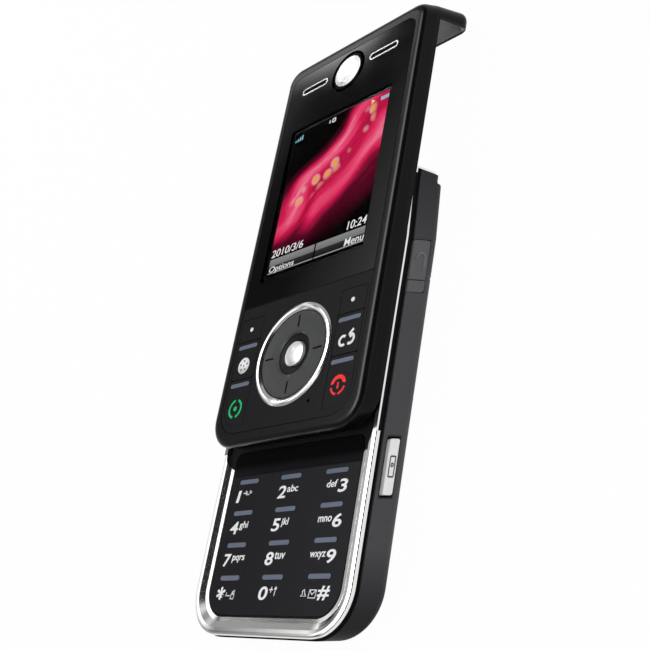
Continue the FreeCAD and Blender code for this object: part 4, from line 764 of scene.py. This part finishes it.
class PHONE_OT_keypad_legends(Dresser, bpy.types.Operator):
    """Prints a digit and its letters on each key of the keypad"""

    bl_idname = "phone.keypad_legends"
    bl_label = "Keypad legends"

    def execute(self, context):
        film = context.scene.phone_film
        white = ink("legend_ink", film.ink)
        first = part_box("key_2")[1][1]
        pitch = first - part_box("key_5")[1][1]
        column_pitch, bar_drop, indent, gap = [value * MM for value in (12.96, 0.97, 3.3, 0.3)]
        corners = {}
        for number, (key, digit, wide, letters, span) in enumerate(LEGENDS):
            row, column = divmod(number, 3)
            side = 1 if column < 2 else -1
            top = first - bar_drop - pitch * row - film.legend_drop
            bottom = top - film.digit_height
            near = column_pitch * (column - 1) - side * indent
            beyond = near + side * wide * MM
            self.word(film, key, "digit", digit, near, beyond, bottom, top, film.digit_weight, white)
            if letters:
                base = top - film.ascender
                tall = film.ascender if set(letters) & set("bdfhijklt") else film.x_height
                deep = film.descender if set(letters) & set("gjpqy") else 0.0
                near_letter = beyond + side * gap
                self.word(film, key, "letters", letters, near_letter, near_letter + side * span * MM,
                          base - deep, base + tall, film.letter_weight, white)
            corners[key] = (min(near, beyond), bottom)
        for key, marks in KEY_MARKS.items():
            left, bottom = corners[key]
            drawing = Drawing(key + "_marks")
            for name, right, up, cell in marks:
                mark(drawing, name, (left + right * MM, bottom + up * MM), cell * MM)
            drawing.put(film.mark_stroke, film.ink_lift, top_of("keypad_panel"), white, key)
        return {"FINISHED"}

    def word(self, film, key, kind, text, near, far, bottom, top, weight, material):
        """One word on a key, from its near end to its far end, which may lie left of it."""
        left, right = sorted((near, far))
        typeset(f"{key}_{kind}", text, (left, bottom, right, top), top_of("keypad_panel"), film.ink_lift,
                weight, material, key)


class PHONE_OT_film_edges(Dresser, bpy.types.Operator):
    """Lays the film's thin edges over the seams between the keys of the keypad"""

    bl_idname = "phone.film_edges"
    bl_label = "Film edges"

    def execute(self, context):
        film = context.scene.phone_film
        for number, key in enumerate(KEYPAD):
            row, column = divmod(number, 3)
            self.edges(key, key, film, column > 0, row < 3, column < 2, True)
        self.edges("keypad_panel", "base", film, False, True, False, False)
        return {"FINISHED"}

    def edges(self, node, body, film, left, bottom, right, top):
        """Strips along the sides that face another piece of the film."""
        reach, wide, thin = film.seam_cover, 0.2 * MM, 0.01 * MM
        height = top_of("keypad_panel")
        low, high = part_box(node)
        x0, x1 = low[0] - reach * left, high[0] + reach * right
        y0, y1 = low[1] - reach * bottom, high[1] + reach * top
        inner = (y0 + wide * bottom, y1 - wide * top)
        strips = [(x0, y0, x1, y0 + wide)] * bottom + [(x0, y1 - wide, x1, y1)] * top
        strips += [(x0, inner[0], x0 + wide, inner[1])] * left + [(x1 - wide, inner[0], x1, inner[1])] * right
        outlines = [((x0, y0), (x1, y0), (x1, y1), (x0, y1)) for x0, y0, x1, y1 in strips]
        mesh = plates(node + "_edge", outlines, height - thin, height + thin)
        material = frame["nodes"][node].data.materials[0]
        add_piece(node + "_edge", mesh, material, body, smooth=False)


class PHONE_OT_face_marks(Dresser, bpy.types.Operator):
    """Prints the marks of the six keys beside the wheel, and the wheel's four ticks"""

    bl_idname = "phone.face_marks"
    bl_label = "Face marks"

    def execute(self, context):
        film = context.scene.phone_film
        white = ink("mark_ink", film.ink)
        black = ink("tick_ink", grey(0.0015), 1.12)
        self.print_marks(film, top_of("nav_plate"), white, black)
        wheel = middle_of("nav_wheel").xy
        ticks = Drawing("wheel_ticks")
        near, far = 6.1, 8.7
        for turn in range(4):
            way = at(math.cos(turn * math.pi / 2), math.sin(turn * math.pi / 2))
            ticks.stroke([wheel + way * near, wheel + way * far])
        ticks.put(0.34 * MM, film.ink_lift, top_of("nav_wheel"), black, "nav_wheel")
        return {"FINISHED"}

    def print_marks(self, film, height, white, black):
        """A reel, a bent arrow and the two telephone signs, each round its own middle."""
        lift = film.ink_lift
        media = at(-15.95, 9.55)
        reel = plates("media_mark", [disc_outline(media, 1.85 * MM)], height, height + lift)
        add_piece("media_mark", reel, white, "key_media")
        holes = Drawing("media_holes")
        for turn in range(5):
            angle = math.radians(90 + 72 * turn)
            holes.ring(media + at(math.cos(angle), math.sin(angle)) * 1.08, 0.14 * MM, steps=8)
        holes.ring(media, 0.1 * MM, steps=8)
        holes.put(0.34 * MM, lift * 1.6, height, black, "key_media")
        hook_radius = 0.98 * MM
        back = Drawing("back_mark").ring(at(14.75, 9.3), hook_radius, 55, 305)
        back.ring(at(16.75, 9.4), hook_radius, -125, 95)
        back.stroke([at(17.35, 11.4), at(16.35, 10.5), at(17.0, 9.7)], 0.1 * MM)
        back.put(0.62 * MM, lift, height, white, "key_back")
        call, call_radius = at(-15.7, -0.3), 1.9 * MM
        green = Drawing("call_mark").ring(call, call_radius, 100, 258).ring(call, call_radius, -75, 72)
        green.ring(call, 0.3 * MM, steps=10)
        green.put(0.55 * MM, lift, height, ink("call_ink", film.call), "key_call")
        end, end_radius, inner_radius = at(15.55, 0.1), 1.85 * MM, 1.5 * MM
        red = Drawing("end_mark").ring(end, end_radius, 8, 172).ring(end, end_radius, 192, 262)
        red.ring(end, inner_radius, 14, 166).ring(end, end_radius, 278, 348)
        red.stroke([end - at(0, 0.75), end + at(0, 0.55)])
        red.put(0.52 * MM, lift, height, ink("end_ink", film.end), "key_end")


class PHONE_OT_display(Dresser, bpy.types.Operator):
    """Lights the display: a picture of folded silk with small lights, words and signs, behind its lens"""

    bl_idname = "phone.display"
    bl_label = "Display"

    def execute(self, context):
        screen = context.scene.phone_screen
        dress(self.picture(screen), "lcd_module")
        dress(self.lens(screen), "display_lens")
        self.words(screen)
        return {"FINISHED"}

    def spans(self, screen):
        """Left, bottom, right and top of the lit picture."""
        half = screen.width / 2
        left = -half - screen.aside
        bottom = screen.middle - screen.height / 2
        return left, bottom, left + screen.width, bottom + screen.height

    def picture(self, screen):
        """The lit picture. Its places are shares of its width from the left and of its height."""
        finish = Finish("display_picture")
        x, y, _ = finish.place
        left, bottom, _, _ = self.spans(screen)
        u = (x - left) / screen.width
        v = (y - bottom) / screen.height
        # a broad band of folded silk that climbs from the lower left to the upper right
        climb, start = 0.6, 0.33
        bend = finish.noise(17 * MM, 1.0, 0.3) - 0.5
        rise = v - u * climb - start + bend * 0.35
        run = u + v * climb
        thread = finish.node("ShaderNodeCombineXYZ", None, (rise, run * 0.11, 0.0))
        fine = finish.noise(0.035, 3.0, 0.6, thread)
        folds = (rise * 17.0 + (run * 3.6).sine() * 1.2 + bend * 7.0).sine() * 0.5 + 0.5
        inside = rise.within(-0.6, -0.2, 0.16, 0.3) * v.between(0.12, 0.34)
        level = inside * (folds * 0.42 + fine * 0.44 + 0.22)
        silk = finish.node("ShaderNodeValToRGB", {"stops": (
            (0.0, grey(0.0)), (0.22, screen.deep), (0.55, screen.bright), (0.8, (0.95, 0.09, 0.22)),
            (1.0, (1.0, 0.42, 0.52)))}, (level,))
        # small amber lights in a pale halo, scattered over the upper part of the band
        cells = finish.cells(3.4 * MM, 0.8)
        where = (1.0 - abs(rise).between(0.06, 0.11)) * v.between(0.42, 0.48) * (1.0 - u.between(0.84, 0.9))
        halo = (1.0 - cells.between(0.34, 0.48)) * where
        core = (1.0 - cells.between(0.2, 0.3)) * where
        lit = finish.mix(halo * 0.6, silk, (1.0, 0.62, 0.6))
        lit = finish.mix(core, lit, screen.amber)
        # soft key bars along the foot: a grey upper half, a dark lower half and a bright foot line
        foot, top = 0.022, 0.118
        for near, far in ((0.008, 0.492), (0.508, 0.992)):
            inside = self.box(u, v, (near, foot), (far, top))
            bar = finish.node("ShaderNodeValToRGB", {"stops": (
                (0.0, grey(0.4)), (0.06, grey(0.4)), (0.08, grey(0.01)), (0.5, grey(0.03)),
                (0.54, grey(0.2)), (1.0, grey(0.3)))}, ((v - foot) / (top - foot),))
            lit = finish.mix(inside, lit, bar)
        lit = finish.mix(self.box(u, v, (0.0, 0.0), (1.0, 1.0)), grey(0.0), lit)
        return finish.set(base_color=grey(0.0015), roughness=0.5, specular_ior_level=0.0, emission_color=lit,
                          emission_strength=screen.glow)

    def box(self, u, v, low, high):
        return (u > low[0]) * (u < high[0]) * (v > low[1]) * (v < high[1])

    def lens(self, screen):
        """Clear over the picture and printed black round it, on the lens's back."""
        finish = Finish("lens_print")
        x, y, z = finish.place
        left, bottom, right, top = self.spans(screen)
        # the front face stays clear a little further out than the print
        margin = (z > middle_of("display_lens").z) * (1.0 * MM)
        window = (x > left - margin) * (x < margin + right) * (y > bottom - margin) * (y < margin + top)
        haze = finish.noise(6 * MM, 3.0, 0.6)
        finish.set(base_color=(0.003, 0.003, 0.0035), roughness=0.02 + 0.06 * haze, ior=1.45)
        clear = finish.node("ShaderNodeBsdfPrincipled", None,
                            {"Transmission Weight": 1.0, "Roughness": 0.0, "IOR": 1.05})
        return finish.blend(window, clear)

    def words(self, screen):
        """Words and signs in lit ink, placed in mm and moved aside with the picture."""
        height, lift, weight = top_of("lcd_module"), 0.02 * MM, 0.006
        aside = Vector((-screen.aside, 0))
        white = lit_ink("screen_white", grey(0.95))
        blue = lit_ink("screen_blue", (0.25, 0.65, 0.8))
        lines = (
            ("screen_clock", screen.clock, (9.3, 35.4), (15.0, 37.4)),
            ("screen_day", screen.day, (-14.9, 35.3), (-4.4, 37.2)),
            ("screen_left_word", screen.left_word, (-14.7, 31.1), (-6.4, 33.0)),
            ("screen_right_word", screen.right_word, (9.3, 31.5), (15.0, 33.3)),
        )
        for name, text, low, high in lines:
            box = (*(at(*low) + aside), *(at(*high) + aside))
            typeset(name, text, box, height, lift, weight, white, "slider")
        signal, charge = Drawing("screen_signal"), Drawing("screen_charge")
        for bar in range(4):
            foot = at(-15.0 + 0.75 * bar, 66.1) + aside
            signal.stroke([foot, foot + at(0, 0.5 + 0.3 * bar)])
            foot = at(13.0 + 0.65 * bar, 66.4) + aside
            charge.stroke([foot, foot + at(0, 1.0)])
        signal.put(0.4 * MM, lift, height, blue, "slider")
        charge.put(0.5 * MM, lift, height, blue, "slider")
        alert = plates("screen_alert", [disc_outline(at(10.2, 67.2) + aside, 0.85 * MM, 3)], height,
                       height + lift)
        add_piece("screen_alert", alert, lit_ink("screen_amber", (1.0, 0.55, 0.1)), "slider")
        post, tall = at(-3.5, 67.0) + aside, at(0, 0.9)
        near, far = post + at(0.9, 0), post + at(1.8, 0)
        mode = Drawing("screen_mode").stroke([post, post + tall])
        mode.stroke([near, far, far + tall, near + tall], 0.1 * MM, True)
        mode.put(0.3 * MM, lift, height, white, "slider")


class PHONE_OT_inner_parts(Dresser, bpy.types.Operator):
    """Finishes the boards, cans, domes, battery, slide mechanism and the other parts inside"""

    bl_idname = "phone.inner_parts"
    bl_label = "Inner parts"

    def execute(self, context):
        dress(moulded("solder_mask", (0.01, 0.09, 0.045), 0.35, spread=0.1), "main_board", "slider_board")
        dress(rolled_steel("steel_sheet", (0.55, 0.56, 0.57), 0.3), "shield_cans", "usb_connector",
              "sim_holder", "carriage_plate", "rail_plate", "rail_rivets", "microphone", "vibration_motor",
              "housing_screws")
        dress(rolled_steel("dome_steel", (0.62, 0.62, 0.62), 0.2), "key_domes", "nav_domes", "slide_springs")
        dress(moulded("inner_black", (0.008, 0.008, 0.008), 0.5), "antenna", "loudspeaker", "camera_module",
              "earpiece_speaker")
        dress(moulded("battery_wrap", (0.22, 0.23, 0.24), 0.4), "battery")
        dress(moulded("flex_amber", (0.42, 0.19, 0.03), 0.3, relief=0.001 * MM), "slide_flex")
        dress(moulded("camera_glass", (0.004, 0.005, 0.008), 0.04, relief=0.0002 * MM, spread=0.02),
              "camera_lens")
        return {"FINISHED"}


class PHONE_OT_stage(Dresser, bpy.types.Operator):
    """Makes the floor with its curved backdrop, the lamps, the sky and the camera"""

    bl_idname = "phone.stage"
    bl_label = "Stage"

    def execute(self, context):
        stage = context.scene.phone_stage
        self.floor(stage)
        self.sky(context, stage)
        self.lamps(stage)
        self.camera(context, stage)
        context.scene.view_settings.view_transform = "Standard"
        return {"FINISHED"}

    def floor(self, stage):
        """A flat round floor that bends up into the backdrop."""
        flat, bend, bend_steps = stage.floor_radius, stage.backdrop_bend, 8
        profile = [(flat * part, 0.0) for part in (0.25, 0.5, 0.75, 1.0)]
        for step in range(1, bend_steps + 1):
            angle = math.radians(90 * step / bend_steps)
            profile.append((flat + bend * math.sin(angle), bend * (1 - math.cos(angle))))
        profile.append((flat + bend, stage.backdrop_height))
        rings = [[(x, y, height) for x, y in disc_outline((0, 0), radius, stage.backdrop_sides)]
                 for radius, height in reversed(profile)]
        work = bmesh.new()
        work.faces.new(stitch(work, rings)[-1])
        mesh = finished_mesh("floor", work)
        for face in mesh.polygons:
            face.use_smooth = True
        mesh.materials.append(self.paper())
        floor = into_scene("floor", mesh)
        floor.location.z = CAD_BOX[0][2]

    def paper(self):
        """White paper: shown white, with the soft shadow of what stands on it."""
        finish = Finish("white_paper")
        fibre = finish.noise(1.5 * MM, 3.0, 0.6)
        finish.set(base_color=finish.mix(fibre, grey(0.8), grey(0.83)), roughness=0.9,
                   specular_ior_level=0.0, normal=finish.bump(fibre, 0.02 * MM))
        shown = finish.node("ShaderNodeEmission", None, (grey(1.0), 1.0))
        # what the camera sees straight, by reflection or through glass
        seen = finish.ray("Camera").larger(finish.ray("Glossy")).larger(finish.ray("Transmission"))
        return finish.blend(seen * 0.975, shown)

    def sky(self, context, stage):
        """Plain light from all round, and the room that what is glossy mirrors."""
        world = bpy.data.worlds.new("studio_sky")
        context.scene.world = world
        finish = Finish("studio_sky", world)
        way = finish.node("ShaderNodeTexCoord", output="Generated")
        # parts of a direction of length 1: to the right, towards the earpiece, and up
        across, along, height = finish.parts(way)
        seen, glossy = finish.ray("Camera"), finish.ray("Glossy")
        wall = 0.36
        # on the left a bright band over a grey horizon, then a dim gap, then the bright overhead cloth
        dim = height.between(0.56, 0.615)
        band = height.between(0.3, 0.46) * (1.0 - dim) * along.between(-0.45, -0.25)
        cloth = height.between(0.65, 0.72)
        hem = height.between(0.69, 0.715)
        strip = height.within(0.8, 0.86, 0.9, 0.95)
        slope = along.between(0.368, 0.414)
        window = slope * slope * (1.0 - along.between(0.44, 0.48)) * height.within(0.5, 0.56, 0.608, 0.636)
        near = (wall * (1.0 - dim * 0.84) + 0.6 * band + 0.94 * cloth + 0.6 * hem + 0.4 * strip
                + 16.0 * window)
        far = wall + 0.5 * cloth
        left = (across * -1.0).between(0.2, 0.5)
        # the cloth ends overhead, a black flag hangs high on the right, and a bright tube straight above
        edge = height.between(0.88, 0.95) * across.between(-0.42, -0.25)
        flag = across.between(0.18, 0.36) * height.between(0.3, 0.5)
        tube = height.between(0.8, 0.95) * across.within(-0.35, -0.15, 0.15, 0.3)
        mirrored = (far + left * (near - far)) * (1.0 - edge * 0.6) * (1.0 - flag * 0.97) + tube * 11.0
        plain = stage.sky * (0.5 + 0.5 * along.between(-0.8, 0.3))
        level = glossy * mirrored + (1.0 - glossy) * plain
        background = finish.tree.nodes["Background"]
        finish.feed(background.inputs["Color"], grey(1.0))
        finish.feed(background.inputs["Strength"], seen + (1.0 - seen) * level)

    def lamps(self, stage):
        """Three soft boxes: name, place, size and share of the large lamp's power."""
        target = Vector((0.0, 0.02, 0.01))
        plan = (
            ("soft_box_left", (-0.75, 0.75, 0.75), (0.7, 0.5), 1.0),
            ("soft_box_right", (0.9, -0.25, 0.55), (0.16, 0.9), 0.5),
            ("soft_box_front", (-0.3, -0.95, 0.7), (0.9, 0.3), 0.1),
        )
        for name, place, size, share in plan:
            light = bpy.data.lights.new(name, "AREA")
            light.shape = "RECTANGLE"
            light.size, light.size_y = size
            light.energy = stage.lamp_strength * share
            lamp = into_scene(name, light)
            lamp.location = place
            lamp.visible_glossy = False
            lamp.rotation_euler = (target - Vector(place)).to_track_quat("-Z", "Z").to_euler()

    def camera(self, context, stage):
        """A camera on a stand: its film leans and sits off the axis, as on a view camera."""
        turn = (Matrix.Rotation(stage.azimuth, 3, "Z")
                @ Matrix.Rotation(math.pi / 2 - stage.elevation, 3, "X")
                @ Matrix.Rotation(stage.roll, 3, "Z"))
        film = Matrix(((1, stage.lean, stage.film_offset[0]),
                       (0, math.hypot(1, stage.lean), stage.film_offset[1]), (0, 0, 1)))
        lens = bpy.data.cameras.new("camera")
        lens.sensor_width = 36
        lens.lens = stage.focal_length * film.inverted().col[2].length
        lens.clip_start = 0.01
        lens.clip_end = 10
        stand = into_scene("camera_stand", None)
        camera = into_scene("camera", lens)
        camera.parent = stand
        axes = (turn @ film.inverted()).to_4x4()
        camera.matrix_parent_inverse = Matrix.Translation(stage.camera_place) @ axes
        context.scene.camera = camera


class PHONE_PT_sidebar(bpy.types.Panel):
    """Lists the operators and the sizes and colours they use"""

    bl_idname = "PHONE_PT_sidebar"
    bl_label = TAB
    bl_space_type = "VIEW_3D"
    bl_region_type = "UI"
    bl_category = TAB

    def draw(self, context):
        column = self.layout.column()
        for operator in OPERATORS:
            column.operator(operator.bl_idname)
        for group in (context.scene.phone_film, context.scene.phone_screen, context.scene.phone_stage):
            box = self.layout.box()
            for key in group.__annotations__:
                box.prop(group, key)


OPERATORS = (
    PHONE_OT_casings, PHONE_OT_bright_trim, PHONE_OT_side_pieces, PHONE_OT_films, PHONE_OT_film_edges,
    PHONE_OT_keypad_legends, PHONE_OT_face_marks, PHONE_OT_display, PHONE_OT_inner_parts, PHONE_OT_stage,
)
CLASSES = (FilmSettings, ScreenSettings, StageSettings, *OPERATORS, PHONE_PT_sidebar)


def register():
    for kind in CLASSES:
        bpy.utils.register_class(kind)
    bpy.types.Scene.phone_film = PointerProperty(type=FilmSettings)
    bpy.types.Scene.phone_screen = PointerProperty(type=ScreenSettings)
    bpy.types.Scene.phone_stage = PointerProperty(type=StageSettings)


def unregister():
    del bpy.types.Scene.phone_stage
    del bpy.types.Scene.phone_screen
    del bpy.types.Scene.phone_film
    for kind in reversed(CLASSES):
        bpy.utils.unregister_class(kind)


def main():
    register()
    for operator in OPERATORS:
        _, action = operator.bl_idname.split(".")
        getattr(bpy.ops.phone, action)()


if __name__ == "__main__":
    main()
